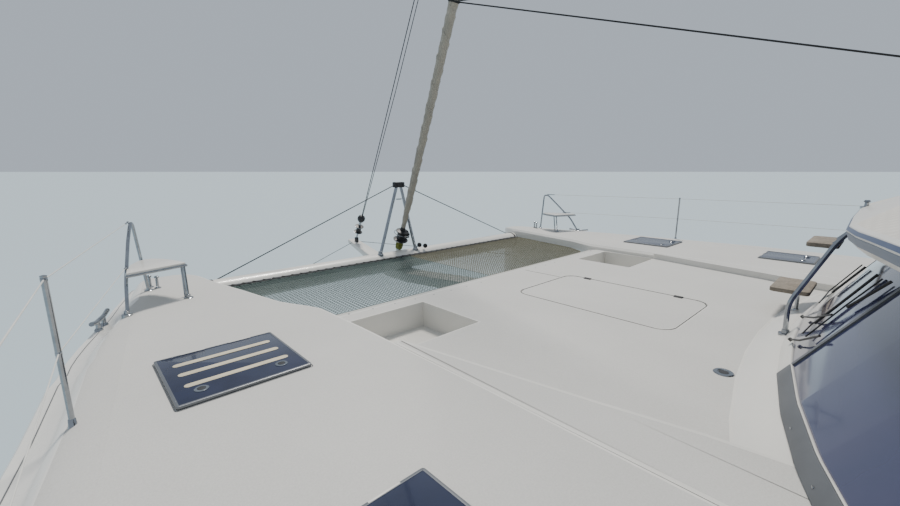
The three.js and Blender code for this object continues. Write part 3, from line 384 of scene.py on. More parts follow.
# Black glass-filled nylon fittings, moulded: satin.
BLACK_NYLON = Finish("nylon_moulded", "1C1D20", "2B2C30", 0.45, relief_mm=0.02, scale_mm=4, patch_mm=80,
                     slot="black_fitting")
BEAD_RUBBER = Finish("rubber_bead_extruded", "55585C", "6B6E72", 0.6, relief_mm=0.02, scale_mm=3,
                     patch_mm=120, slot="black_fitting")
RUBBER = Finish("rubber_extruded", "2A2A2C", "3A3A3A", 0.7, relief_mm=0.02, scale_mm=3, patch_mm=120,
                slot="black_fitting")
GREY_ENAMEL = Finish("grey_enamel_sprayed", "7C8084", "6A6E73", 0.4, relief_mm=0.01, patch_mm=120,
                     slot="painted_alloy_grey")
ENGINE_PAINT = Finish("engine_enamel_sprayed", "566068", "454D55", 0.5, Pattern.CAST, 30, 0.2, patch_mm=90,
                      slot="engine_paint")
ANTIFOULING = Finish("antifouling_rolled", "23292F", "2E353B", 0.8, Pattern.CAST, 15, 0.2, patch_mm=250,
                     slot="white_gelcoat")
LEATHER = Finish("leather_stitched", "2B2B2D", "3A3836", 0.6, Pattern.CAST, 5, 0.2, patch_mm=60,
                 slot="black_fitting")


def only(obj: Object) -> None:
    """Selects one object and makes it active."""
    bpy.ops.object.select_all(action="DESELECT")
    obj.select_set(True)
    bpy.context.view_layer.objects.active = obj


@contextmanager
def editing(obj: Object, everything: bool = False) -> Iterator[None]:
    """Edit mode on one object.

    Args:
        obj: The object.
        everything: True to start with all of it selected, else with nothing.
    """
    only(obj)
    bpy.ops.object.mode_set(mode="EDIT")
    bpy.ops.mesh.select_all(action="SELECT" if everything else "DESELECT")
    yield
    bpy.ops.object.mode_set(mode="OBJECT")


def pick_faces(obj: Object, test: Callable[[bmesh.types.BMFace], bool]) -> int:
    """Selects faces of the object in edit mode.

    Args:
        obj: The object, in edit mode.
        test: Says whether a face is wanted.

    Returns:
        How many were selected.
    """
    mesh = bmesh.from_edit_mesh(obj.data)
    count = 0
    for face in mesh.faces:
        if test(face):
            face.select_set(True)
            count += 1
    bmesh.update_edit_mesh(obj.data)
    return count


def apply_modifier(obj: Object, kind: str, **settings: object) -> None:
    """Adds a modifier and applies it.

    Args:
        obj: The object.
        kind: The modifier's type.
        **settings: Its settings.
    """
    only(obj)
    modifier = obj.modifiers.new(kind.lower(), kind)
    for key, value in settings.items():
        setattr(modifier, key, value)
    bpy.ops.object.modifier_apply(modifier=modifier.name)


def round_edges(obj: Object, width: float, segments: int = 2, angle: float = 38) -> Object:
    """Rounds the edges that are sharper than an angle.

    Args:
        obj: The object.
        width: The width of the rounding.
        segments: Its steps.
        angle: The angle, in degrees.

    Returns:
        The object.
    """
    apply_modifier(obj, "BEVEL", width=width, segments=segments, limit_method="ANGLE",
                   angle_limit=math.radians(angle), use_clamp_overlap=True)
    return obj


def place_mesh(obj: Object) -> Object:
    """Moves the object's place, turn and size into its mesh."""
    obj.data.transform(obj.matrix_world)
    obj.matrix_world = Matrix.Identity(4)
    return obj


def slab(name: str, low: Point, high: Point, edge: float = 0.003, segments: int = 2) -> Object:
    """A box between two corners with rounded edges.

    Args:
        name: The object's name.
        low: Its lowest corner.
        high: Its highest corner.
        edge: The width of its rounded edges.
        segments: The steps of the rounding.

    Returns:
        The object.
    """
    low_corner, high_corner = Vector(low), Vector(high)
    bpy.ops.object.select_all(action="DESELECT")
    bpy.ops.mesh.primitive_cube_add(size=1, location=(low_corner + high_corner) / 2,
                                    scale=high_corner - low_corner)
    obj = bpy.context.object
    obj.name = name
    bpy.context.view_layer.update()
    place_mesh(obj)
    with editing(obj, everything=True):
        bpy.ops.mesh.bevel(offset=edge, segments=segments, affect="EDGES")
    return obj


def plate(name: str, outline: Sequence[Plan], low: float, high: float, edge: float = 0.002) -> Object:
    """A flat outline raised to a plate with rounded rims.

    Args:
        name: The object's name.
        outline: Its corners in plan.
        low: The level of its underside.
        high: The level of its top.
        edge: The width of its rounded rims.

    Returns:
        The object.
    """
    bpy.ops.object.select_all(action="DESELECT")
    bpy.ops.mesh.primitive_circle_add(vertices=len(outline), radius=1, fill_type="NGON")
    obj = bpy.context.object
    obj.name = name
    for vertex, (x, y) in zip(obj.data.vertices, outline):
        vertex.co = (x, y, low)
    with editing(obj, everything=True):
        bpy.ops.mesh.extrude_region_move(TRANSFORM_OT_translate={"value": (0, 0, high - low)})
        bpy.ops.mesh.select_all(action="SELECT")
        bpy.ops.mesh.normals_make_consistent(inside=False)
    if edge:
        round_edges(obj, edge)
    return obj


def rounded(low: Plan, high: Plan, corner: float, steps: int = 5) -> list[Plan]:
    """A rectangle's outline with round corners.

    Args:
        low: Its lowest corner in plan.
        high: Its highest corner in plan.
        corner: The radius of its corners.
        steps: The points of each corner.

    Returns:
        The outline.
    """
    centres = ((high[0] - corner, high[1] - corner, 0), (low[0] + corner, high[1] - corner, 90),
               (low[0] + corner, low[1] + corner, 180), (high[0] - corner, low[1] + corner, 270))
    points = []
    for x, y, start in centres:
        for step in range(steps):
            angle = math.radians(start + 90 * step / (steps - 1))
            points.append((x + corner * math.cos(angle), y + corner * math.sin(angle)))
    return points


def aim(place: Point, direction: Point) -> Matrix:
    """A matrix that puts +Z of a mesh along a direction, at a place."""
    return Matrix.Translation(place) @ Vector(direction).to_track_quat("Z", "Y").to_matrix().to_4x4()


def lathe(name: str, profile: Sequence[Plan], place: Point, direction: Point = (0, 0, 1),
          sides: int = 24) -> Object:
    """A turned shape: a disc that is extruded and resized along its axis.

    Args:
        name: The object's name.
        profile: Its radius and height, from one end to the other.
        place: Where its axis starts.
        direction: The way its axis points.
        sides: The points round it.

    Returns:
        The object.
    """
    bpy.ops.object.select_all(action="DESELECT")
    (radius, height), *rest = profile
    bpy.ops.mesh.primitive_circle_add(vertices=sides, radius=radius, fill_type="NGON",
                                      location=(0, 0, height))
    obj = bpy.context.object
    obj.name = name
    bpy.context.view_layer.update()
    place_mesh(obj)
    with editing(obj, everything=True):
        for next_radius, next_height in rest:
            bpy.ops.mesh.extrude_region_move(TRANSFORM_OT_translate={"value": (0, 0, next_height - height)})
            share = next_radius / radius
            bpy.ops.transform.resize(value=(share, share, 1), center_override=(0, 0, next_height))
            radius, height = next_radius, next_height
        bpy.ops.mesh.select_all(action="SELECT")
        bpy.ops.mesh.normals_make_consistent(inside=False)
    obj.data.transform(aim(place, direction))
    return obj


def filleted(points: Sequence[Point], bend: float, steps: int = 5) -> list[Vector]:
    """A line of points with its corners rounded.

    Args:
        points: The line.
        bend: How far before and after a corner its bend starts and ends.
        steps: The points of each bend.

    Returns:
        The rounded line.
    """
    line = [Vector(p) for p in points]
    rounded_line = [line[0]]
    for before, corner, after in zip(line, line[1:], line[2:]):
        start = corner + (before - corner).normalized() * min(bend, (before - corner).length * 0.45)
        end = corner + (after - corner).normalized() * min(bend, (after - corner).length * 0.45)
        for step in range(steps + 1):
            t = step / steps
            rounded_line.append(start.lerp(corner, t).lerp(corner.lerp(end, t), t))
    return [*rounded_line, line[-1]]


def tube(name: str, points: Sequence[Point], radius: float, bend: float = 0.0, closed: bool = False,
         around: int = 3) -> Object:
    """A round tube along a line: a bevelled curve turned to a mesh.

    Args:
        name: The object's name.
        points: The line.
        radius: The tube's radius.
        bend: The size of the bends at the line's corners, or 0.
        closed: True where the line's end joins its start.
        around: The bevel's resolution.

    Returns:
        The object.
    """
    line = filleted(points, bend) if bend else [Vector(p) for p in points]
    curve = bpy.data.curves.new(name, "CURVE")
    curve.dimensions = "3D"
    curve.bevel_depth = radius
    curve.bevel_resolution = around
    curve.use_fill_caps = not closed
    spline = curve.splines.new("POLY")
    spline.points.add(len(line) - 1)
    for point, place in zip(spline.points, line):
        point.co = (*place, 1)
    spline.use_cyclic_u = closed
    obj = bpy.data.objects.new(name, curve)
    bpy.context.scene.collection.objects.link(obj)
    only(obj)
    bpy.ops.object.convert(target="MESH")
    weld(obj)
    return obj


def weld(obj: Object) -> None:
    """Merges an object's doubled vertices and turns its faces outwards."""
    with editing(obj, everything=True):
        bpy.ops.mesh.remove_doubles(threshold=WELD)
        bpy.ops.mesh.normals_make_consistent(inside=False)


def joined(name: str, parts: Sequence[Object]) -> Object:
    """Joins objects into one.

    Args:
        name: The name of the whole.
        parts: The objects.

    Returns:
        The whole.
    """
    only(parts[0])
    for part in parts:
        part.select_set(True)
    bpy.ops.object.join()
    parts[0].name = name
    return parts[0]


def copied(obj: Object, name: str, move: Matrix) -> Object:
    """A copy of a finished mesh, moved, with a mesh of its own.

    Args:
        obj: The object.
        name: The copy's name.
        move: The matrix that moves its mesh.

    Returns:
        The copy.
    """
    copy = bpy.data.objects.new(name, obj.data.copy())
    bpy.context.scene.collection.objects.link(copy)
    copy.data.transform(move)
    if move.determinant() < 0:
        copy.data.flip_normals()
    return copy


def grid(name: str, columns: int, rows: int, place: Callable[[float, float], Vector]) -> Object:
    """A grid whose points are laid on a surface.

    Args:
        name: The object's name.
        columns: Its faces one way.
        rows: Its faces the other way.
        place: Gives a point for two shares from 0 to 1.

    Returns:
        The object.
    """
    bpy.ops.object.select_all(action="DESELECT")
    bpy.ops.mesh.primitive_grid_add(x_subdivisions=columns, y_subdivisions=rows, size=1)
    obj = bpy.context.object
    obj.name = name
    for vertex in obj.data.vertices:
        vertex.co = place(vertex.co.x + 0.5, vertex.co.y + 0.5)
    return obj


def panel(obj: Object, test: Callable[[bmesh.types.BMFace], bool], margin: float, finish: Finish,
          rise: float = 0.001) -> None:
    """Raises the inner part of some faces a little and gives it a finish of its own.

    Args:
        obj: The object.
        test: Says whether a face belongs to the panel.
        margin: The plain border that is left round it.
        finish: The panel's finish.
        rise: How far it is raised.
    """
    obj.data.materials.append(finish.material())
    index = len(obj.data.materials) - 1
    with editing(obj):
        if pick_faces(obj, test):
            bpy.ops.mesh.inset(thickness=margin, depth=rise, use_even_offset=True)
            obj.active_material_index = index
            bpy.ops.object.material_slot_assign()


@dataclass
class Fitter:
    """Copies the model's solids, gives pieces their finish and body, and reports them."""

    nodes: dict[str, Object]
    count: int = 0

    def refined(self, name: str, node: str, edge: float = 0.0, segments: int = 2, angle: float = 38,
                whole: bool = True) -> Object:
        """A copy of a solid, welded, its flat faces whole and its sharp edges rounded.

        Args:
            name: The object's name.
            node: The solid's node.
            edge: The width of its rounded edges, or 0.
            segments: The steps of the rounding.
            angle: The angle over which an edge is rounded, in degrees.
            whole: False to leave the flat faces in triangles, where they have holes.

        Returns:
            The object.
        """
        obj = bpy.data.objects.new(name, self.nodes[node].data.copy())
        bpy.context.scene.collection.objects.link(obj)
        only(obj)
        bpy.ops.mesh.customdata_custom_splitnormals_clear()
        with editing(obj, everything=True):
            bpy.ops.mesh.remove_doubles(threshold=WELD * 5)
            if whole:
                bpy.ops.mesh.dissolve_limited(angle_limit=math.radians(0.6))
        if edge:
            round_edges(obj, edge, segments, angle)
        obj.data.materials.clear()
        return obj

    def fit(self, obj: Object, finish: Finish | None, body: str = "boat",
            nodes: Sequence[str] = ()) -> Object:
        """Finishes one piece.

        Args:
            obj: The piece.
            finish: Its finish, or None where its faces already have theirs.
            body: The body that it rides on.
            nodes: The CAD nodes that it stands for.

        Returns:
            The piece.
        """
        if finish:
            obj.data.materials.clear()
            obj.data.materials.append(finish.material())
        only(obj)
        bpy.ops.object.shade_smooth_by_angle(angle=SMOOTH_ANGLE)
        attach(obj, body)
        if nodes:
            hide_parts(*nodes)
        self.count += 1
        log.info("%s: %d faces, rides on %s", obj.name, len(obj.data.polygons), body)
        return obj

    def moulding(self, node: str, edge: float, segments: int = 3, name: str = "") -> Object:
        """Dresses a solid as it is in gelcoat, with its sharp edges rounded.

        Args:
            node: The solid's node.
            edge: The width of its rounded edges.
            segments: The steps of the rounding.
            name: The piece's name, where it isn't the node's with moulding after it.

        Returns:
            The piece.
        """
        return self.fit(self.refined(name or f"{node}_moulding", node, edge, segments), GELCOAT,
                        nodes=(node,))

    def both(self, obj: Object, name: str, finish: Finish, node: str = "", body: str = "boat",
             other: Finish | None = None) -> None:
        """Finishes a port piece and its mirror image to starboard.

        Args:
            obj: The port piece.
            name: The piece's name without its side.
            finish: Its finish.
            node: The CAD node that it stands for, without its side.
            body: The body, without its side unless it is the boat.
            other: The finish to starboard where it is another one.
        """
        for side in Side:
            piece = obj if side is Side.PORT else copied(obj, name, Matrix.Diagonal((-1, 1, 1, 1)))
            piece.name = f"{side.label}_{name}"
            rides = body if body == "boat" else f"{side.label}_{body}"
            shade = other if other and side is Side.STARBOARD else finish
            self.fit(piece, shade, rides, (f"{side.label}_{node}",) if node else ())


@dataclass(frozen=True)
class PhotoCamera:
    """The photograph's viewpoint, solved from the deck's mirrored fittings."""

    place: Point = (3.32, -1.70, DECK + 1.0)
    yaw_deg: float = 43.20
    pitch_deg: float = 11.26
    focal_px: float = 408.9

    def build(self) -> None:
        """Adds the camera and makes it the scene's."""
        data = bpy.data.cameras.new("photo_camera")
        data.sensor_width = SENSOR_MM
        data.lens = self.focal_px / IMAGE_WIDTH * SENSOR_MM
        data.clip_start = 0.05
        data.clip_end = 6000
        camera = bpy.data.objects.new("photo_camera", data)
        bpy.context.scene.collection.objects.link(camera)
        yaw, pitch = math.radians(self.yaw_deg), math.radians(self.pitch_deg)
        line = Vector((-math.sin(yaw) * math.cos(pitch), -math.cos(yaw) * math.cos(pitch), -math.sin(pitch)))
        camera.location = self.place
        camera.rotation_euler = line.to_track_quat("-Z", "Y").to_euler()
        bpy.context.scene.camera = camera


@dataclass(frozen=True)
class Studio:
    """A pale floor at the waterline and soft light."""

    floor_size: float = 9000.0
    floor_colour: str = "AEBEC6"
    sky_colour: str = "C8D2DE"
    sky_strength: float = 0.8
    sun_strength: float = 3.6
    sun_size_deg: float = 11.0
    sun_from: Point = (-0.31, -0.26, 0.91)

    def build(self) -> None:
        """Adds the floor, the sky and the lamp."""
        bpy.ops.object.select_all(action="DESELECT")
        bpy.ops.mesh.primitive_plane_add(size=self.floor_size)
        floor = bpy.context.object
        floor.name = "studio_floor"
        paint = Finish("floor_paint_rolled", self.floor_colour, self.floor_colour, 0.7, relief_mm=0.0)
        floor.data.materials.append(paint.material())
        world = bpy.data.worlds.new("studio")
        bpy.context.scene.world = world
        world.use_nodes = True
        sky = world.node_tree.nodes["Background"]
        sky.inputs["Color"].default_value = linear(self.sky_colour)
        sky.inputs["Strength"].default_value = self.sky_strength
        lamp_data = bpy.data.lights.new("key_lamp", "SUN")
        lamp_data.energy = self.sun_strength
        lamp_data.angle = math.radians(self.sun_size_deg)
        lamp_data.color = linear("FFFAF2")[:3]
        lamp = bpy.data.objects.new("key_lamp", lamp_data)
        lamp.rotation_euler = Vector(self.sun_from).to_track_quat("Z", "Y").to_euler()
        bpy.context.scene.collection.objects.link(lamp)


@dataclass(frozen=True)
class Hull:
    """A hull with its grip panels, gunwale line, portlights and stern treads."""

    bead: float = 0.0028
    bead_share: float = 0.4
    sections_end: float = 4.9
    deck_end: float = 4.96
    crown: float = 0.93
    crown_drop: float = 0.024
    portlights: tuple[tuple[float, float], ...] = ((-2.6, 0.5), (-1.2, 0.5), (0.6, 1.1), (2.6, 0.5))
    portlight_levels: tuple[float, float] = (1.12, 1.3)

    def build(self, fitter: Fitter) -> None:
        """Builds both hulls.

        Args:
            fitter: Finishes the pieces.
        """
        deck_low = DECK - self.crown_drop
        for side in Side:
            node = f"{side.label}_hull"
            shell = fitter.refined(f"{node}_moulding", node)
            shell.data.materials.append(HULL_GELCOAT.material())
            panel(shell, lambda f: f.normal.z > self.crown and f.calc_center_median().z > deck_low
                  and f.calc_center_median().y < self.deck_end, 0.012, NONSKID, 0.0006)
            panel(shell, lambda f: f.normal.z > FLAT and f.calc_center_median().y > self.deck_end
                  and f.calc_center_median().z < DECK, 0.045, NONSKID)
            fitter.fit(shell, None, nodes=(node,))
        self.gunwale_bead(fitter)
        self.side_lights(fitter)

    @staticmethod
    def rings(fitter: Fitter) -> dict[float, list[Vector]]:
        """The port hull's section points by their y, forward of the stern treads."""
        rows: dict[float, list[Vector]] = {}
        for vertex in fitter.nodes["port_hull"].data.vertices:
            if vertex.co.y < Hull.sections_end:
                rows.setdefault(round(vertex.co.y, 3), []).append(vertex.co.copy())
        return {y: points for y, points in rows.items() if len({round(p.x, 3) for p in points}) > 15}

    def gunwale_bead(self, fitter: Fitter) -> None:
        """Lays the dark bead along the ledge.

        Args:
            fitter: Finishes the pieces.
        """
        line = []
        for _, points in sorted(self.rings(fitter).items()):
            edge = max(points, key=lambda p: (round(p.x, 4), p.z))
            above = {round(p.z, 4): p for p in points if p.x > HULL_X and p.z > edge.z + 0.002}
            outer, inner = (above[level] for level in sorted(above)[:2])
            line.append(outer.lerp(inner, self.bead_share))
        bead = tube("port_gunwale_bead", line, self.bead, around=2)
        fitter.both(bead, "gunwale_bead", BEAD_RUBBER)

    def side_lights(self, fitter: Fitter) -> None:
        """Bonds the long dark windows to the outer topsides.

        Args:
            fitter: Finishes the pieces.
        """
        low, high = self.portlight_levels
        hull = fitter.nodes["port_hull"]
        panes = []
        for index, (middle, length) in enumerate(self.portlights):
            outline = rounded((middle - length / 2, low), (middle + length / 2, high), 0.07)
            pane = plate(f"portlight_{index}", outline, 0, 0.004, 0)
            pane.data.transform(Matrix(((0, 0, 1, 4.2), (1, 0, 0, 0), (0, 1, 0, 0), (0, 0, 0, 1))))
            with editing(pane, everything=True):
                bpy.ops.mesh.delete(type="ONLY_FACE")
                bpy.ops.mesh.select_all(action="SELECT")
                bpy.ops.mesh.remove_doubles(threshold=0.01)
                bpy.ops.mesh.fill_grid(span=4)
            apply_modifier(pane, "SHRINKWRAP", target=hull, wrap_method="PROJECT", use_project_x=True,
                           use_negative_direction=True, offset=0.003)
            apply_modifier(pane, "SOLIDIFY", thickness=0.008, offset=0)
            panes.append(pane)
        fitter.both(joined("port_portlights", panes), "portlights", TINTED_GLASS)


@dataclass(frozen=True)
class Guardrail:
    """Stanchions on their bases and two sleeved lifelines."""

    feet: tuple[Plan, ...] = ((3.415, -3.84), (3.605, -1.45), (3.64, 0.6), (3.64, 2.6), (3.60, 4.3))
    height: float = 0.617
    foot_drop: float = 0.024
    tube_radius: float = 0.0105
    wire_levels: tuple[float, float] = (0.3, 0.6)
    wire_starts: tuple[Plan, Plan] = ((3.036, -5.575), (2.968, -5.86))
    wire_radius: float = 0.0026

    def stanchion(self) -> Object:
        """Models one stanchion at the origin, standing on the deck's level.

        Returns:
            The stanchion.
        """
        radius, base = self.tube_radius, -self.foot_drop
        post = lathe("stanchion", [(radius, base - 0.02), (radius, self.height - 0.007),
                                   (radius * 1.05, self.height - 0.006), (radius * 1.05, self.height - 0.002),
                                   (radius * 0.6, self.height)], (0, 0, 0))
        socket = lathe("socket",
                       [(0.018, -0.03), (0.018, 0.006), (0.0155, 0.01), (0.013, 0.04), (0.0106, 0.043)],
                       (0, 0, base), sides=20)
        foot = plate("foot", rounded((-0.019, -0.028), (0.019, 0.028), 0.0185), base - 0.03, base + 0.004)
        lugs = [lathe("lug", [(0.004, 0.003), (0.004, 0.0055), (0.002, 0.007)], (0, y, base), sides=8)
                for y in (-0.0225, 0.0225)]
        collars = [lathe("collar", [(radius, level - 0.008), (radius * 1.08, level - 0.006),
                                    (radius * 1.08, level + 0.006), (radius, level + 0.008)], (0, 0, 0),
                                    sides=16)
                   for level in self.wire_levels]
        return joined("stanchion", [post, socket, foot, *lugs, *collars])

    def build(self, fitter: Fitter) -> None:
        """Builds both guardrails.

        Args:
            fitter: Finishes the pieces.
        """
        model = self.stanchion()
        posts = [copied(model, f"stanchion_{i}", Matrix.Translation((x, y, DECK)))
                 for i, (x, y) in enumerate(self.feet)]
        bpy.data.objects.remove(model)
        fitter.both(joined("port_stanchions", posts), "stanchions", STAINLESS, "guardrail")
        wires, ends = [], []
        for level, first in zip(self.wire_levels, self.wire_starts):
            line = [(x, y, DECK + level) for x, y in (first, *self.feet)]
            wires.append(tube("lifeline", line, self.wire_radius, around=2))
            start, after = Vector(line[0]), Vector(line[1])
            way = (after - start).normalized()
            ends.append(lathe("turnbuckle", [(0.003, 0.01), (0.0065, 0.02), (0.0065, 0.12), (0.003, 0.14)],
                              start, way, 10))
            ends.append(lathe("eye", [(0.004, -0.004), (0.009, 0.0), (0.009, 0.012), (0.004, 0.018)], start,
                              way, 10))
        fitter.both(joined("port_lifelines", wires), "lifelines", SLEEVED_WIRE)
        fitter.both(joined("port_lifeline_ends", ends), "lifeline_ends", STAINLESS)


@dataclass(frozen=True)
class Pulpit:
    """The bow pulpit: an upturned V of tube, a rounded seat and its post."""

    aft: Plan = (3.10, -5.29)
    forward: Plan = (2.89, -5.93)
    apex: Plan = (2.945, -5.89)
    post: Plan = (2.69, -5.45)
    height: float = 0.6
    tube_radius: float = 0.0125
    bends: tuple[Point, Point] = ((3.068, -5.44, 0.2), (3.0, -5.71, 0.46))
    cleat: Point = (3.245, -5.37, DECK - 0.08)
    cleat_way: Point = (-0.34, -1, 0)
    fairlead_feet: tuple[Plan, Plan] = ((2.865, -6.04), (2.822, -5.965))
    seat_level: float = 0.275
    seat: tuple[Plan, ...] = ((3.066, -5.35), (3.05, -5.50), (3.01, -5.68), (2.95, -5.81), (2.90, -5.855),
                              (2.85, -5.855), (2.80, -5.81), (2.74, -5.70), (2.695, -5.58), (2.672, -5.49))

    def build(self, fitter: Fitter) -> None:
        """Builds both pulpits.

        Args:
            fitter: Finishes the pieces.
        """
        top = DECK + self.height
        apex_x, apex_y = self.apex
        line = [(*self.aft, DECK - 0.03), *[(x, y, DECK + rise) for x, y, rise in self.bends],
                (apex_x + 0.014, apex_y + 0.05, top - 0.012), (apex_x - 0.006, apex_y - 0.016, top - 0.012),
                (*self.forward, DECK - 0.03)]
        bow = tube("bow", line, self.tube_radius, bend=0.05)
        level = DECK + self.seat_level - 0.014
        legs = [tube("seat_leg", [(self.post[0] + dx, self.post[1] + dy, DECK - 0.03),
                                  (self.post[0] + dx * 0.6, self.post[1] - 0.035 + dy, level)], 0.0095)
                for dx, dy in ((0, 0), (0.012, -0.05))]
        ring = tube("seat_ring", [(x, y, level) for x, y in self.seat], 0.010, closed=True)
        pads = [lathe("flange", [(0.034, -0.02), (0.034, 0.005), (0.03, 0.008), (0.018, 0.01), (0.016, 0.03),
                                 (0.0126, 0.032)], (*foot, DECK))
                for foot in (self.aft, self.forward, self.post)]
        frame = joined("port_pulpit_frame", [bow, *legs, ring, *pads])
        fitter.both(frame, "pulpit_frame", STAINLESS, "pulpit")
        seat = plate("port_pulpit_seat", self.seat, level + 0.004, level + 0.026, 0.008)
        fitter.both(seat, "pulpit_seat", GELCOAT)
        self.bow_fittings(fitter)

    def bow_fittings(self, fitter: Fitter) -> None:
        """Adds the mooring cleat on the ledge and the two fairlead posts at the bow.

        Args:
            fitter: Finishes the pieces.
        """
        x, y, z = self.cleat
        way = Vector(self.cleat_way).normalized()
        posts = [lathe("cleat_post", [(0.027, -0.01), (0.025, 0.008), (0.015, 0.02), (0.014, 0.056)],
                       Vector((x, y, z)) + way * step, sides=16) for step in (-0.055, 0.055)]
        horn_line = [Vector((x, y, z + 0.064)) + way * step + Vector((0, 0, lift))
                     for step, lift in ((-0.16, 0.016), (-0.07, 0), (0.07, 0), (0.16, 0.016))]
        horns = tube("cleat_horns", horn_line, 0.0155, bend=0.03)
        fairleads = [lathe("fairlead",
                           [(0.026, -0.01), (0.026, 0.006), (0.012, 0.012), (0.011, 0.088), (0.018, 0.094),
                                        (0.018, 0.105), (0.01, 0.11)], (px, py, DECK), sides=18)
                     for px, py in self.fairlead_feet]
        fitter.both(joined("port_bow_cleat", [*posts, horns, *fairleads]), "bow_cleat", STAINLESS)


@dataclass(frozen=True)
class DeckHatch:
    """A deck hatch: alloy frame, navy pane, handles and hinges, and grip strips where it has them."""

    place: str
    gripped: tuple[Side, ...] = ()
    frame_width: float = 0.0095
    under_lip: float = 0.05
    strip_shares: tuple[float, ...] = (0.245, 0.465, 0.70)
    strip_half_width: float = 0.019
    handle_inset: Plan = (0.118, 0.104)
    hinge_shares: Plan = (0.3, 0.7)

    def build(self, fitter: Fitter) -> None:
        """Builds the port and starboard hatch.

        Args:
            fitter: Finishes the pieces.
        """
        node = f"{self.place}_hatch"
        (x0, y0, z0), (x1, y1, z1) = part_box(f"port_{node}")
        inner = self.frame_width
        frame = plate("hatch_frame", rounded((x0, y0), (x1, y1), 0.012), z0, z1, 0.003)
        with editing(frame):
            pick_faces(frame, lambda f: f.normal.z > FLAT and f.calc_area() > 0.1)
            bpy.ops.mesh.inset(thickness=inner, depth=0)
            bpy.ops.mesh.extrude_region_move(TRANSFORM_OT_translate={"value": (0, 0, -0.004)})
        fitter.both(frame, f"{node}_frame", FRAME_ALLOY, node, node)
        panes = [plate("pane", rounded((x0 + lip, y0 + lip), (x1 - lip, y1 - lip), corner), low, high, 0.001)
                 for lip, corner, low, high in ((inner + 0.001, 0.01, z1 - 0.004, z1 - 0.0005),
                                                (self.under_lip, 0.03, z0 - 0.001, z0 + 0.002))]
        fitter.both(joined("panes", panes), f"{node}_pane", NAVY_ACRYLIC, body=node)
        strips, half = [], self.strip_half_width
        for share in self.strip_shares if self.gripped else ():
            y = y0 + (y1 - y0) * share
            strips.append(plate("strip", rounded((x0 + 0.056, y - half), (x1 - 0.062, y + half), half),
                                z1 - 0.001, z1 + 0.0012, 0.0004))
        for side in self.gripped:
            fitter.fit(joined(f"{side.label}_{node}_strips", strips), GRIP_STRIP, f"{side.label}_{node}")
        rings, slots = [], []
        for x in (x0 + self.handle_inset[0], x1 - self.handle_inset[0]):
            y = y1 - self.handle_inset[1]
            rings.append(lathe("handle", [(0.031, z1 - 0.002), (0.031, z1 + 0.002), (0.028, z1 + 0.004),
                                          (0.019, z1 + 0.0035), (0.0185, z1 + 0.001)], (x, y, 0), sides=24))
            slots.append(lathe("slot", [(0.018, z1 - 0.001), (0.018, z1 + 0.0042), (0.0155, z1 + 0.0047)],
                               (x, y, 0),
                               sides=16))
        fitter.both(joined("handles", rings), f"{node}_handles", STAINLESS, body=node)
        fitter.both(joined("slots", slots), f"{node}_handle_slots", BLACK_NYLON, body=node)
        hinges = [slab("hinge", (x - 0.06, y0 + 0.002, z1 - 0.004), (x + 0.06, y0 + 0.011, z1 + 0.002), 0.002)
                  for x in (x0 + (x1 - x0) * share for share in self.hinge_shares)]
        fitter.both(joined("hinges", hinges), f"{node}_hinges", SLEEVED_WIRE,
                    body=node)
        around_it = rounded((x0 - 0.006, y0 - 0.006), (x1 + 0.006, y1 + 0.006), 0.016)
        rim = tube("surround", [(x, y, DECK) for x, y in around_it], 0.003, closed=True, around=2)
        fitter.both(rim, f"{node}_surround", BEAD_RUBBER)


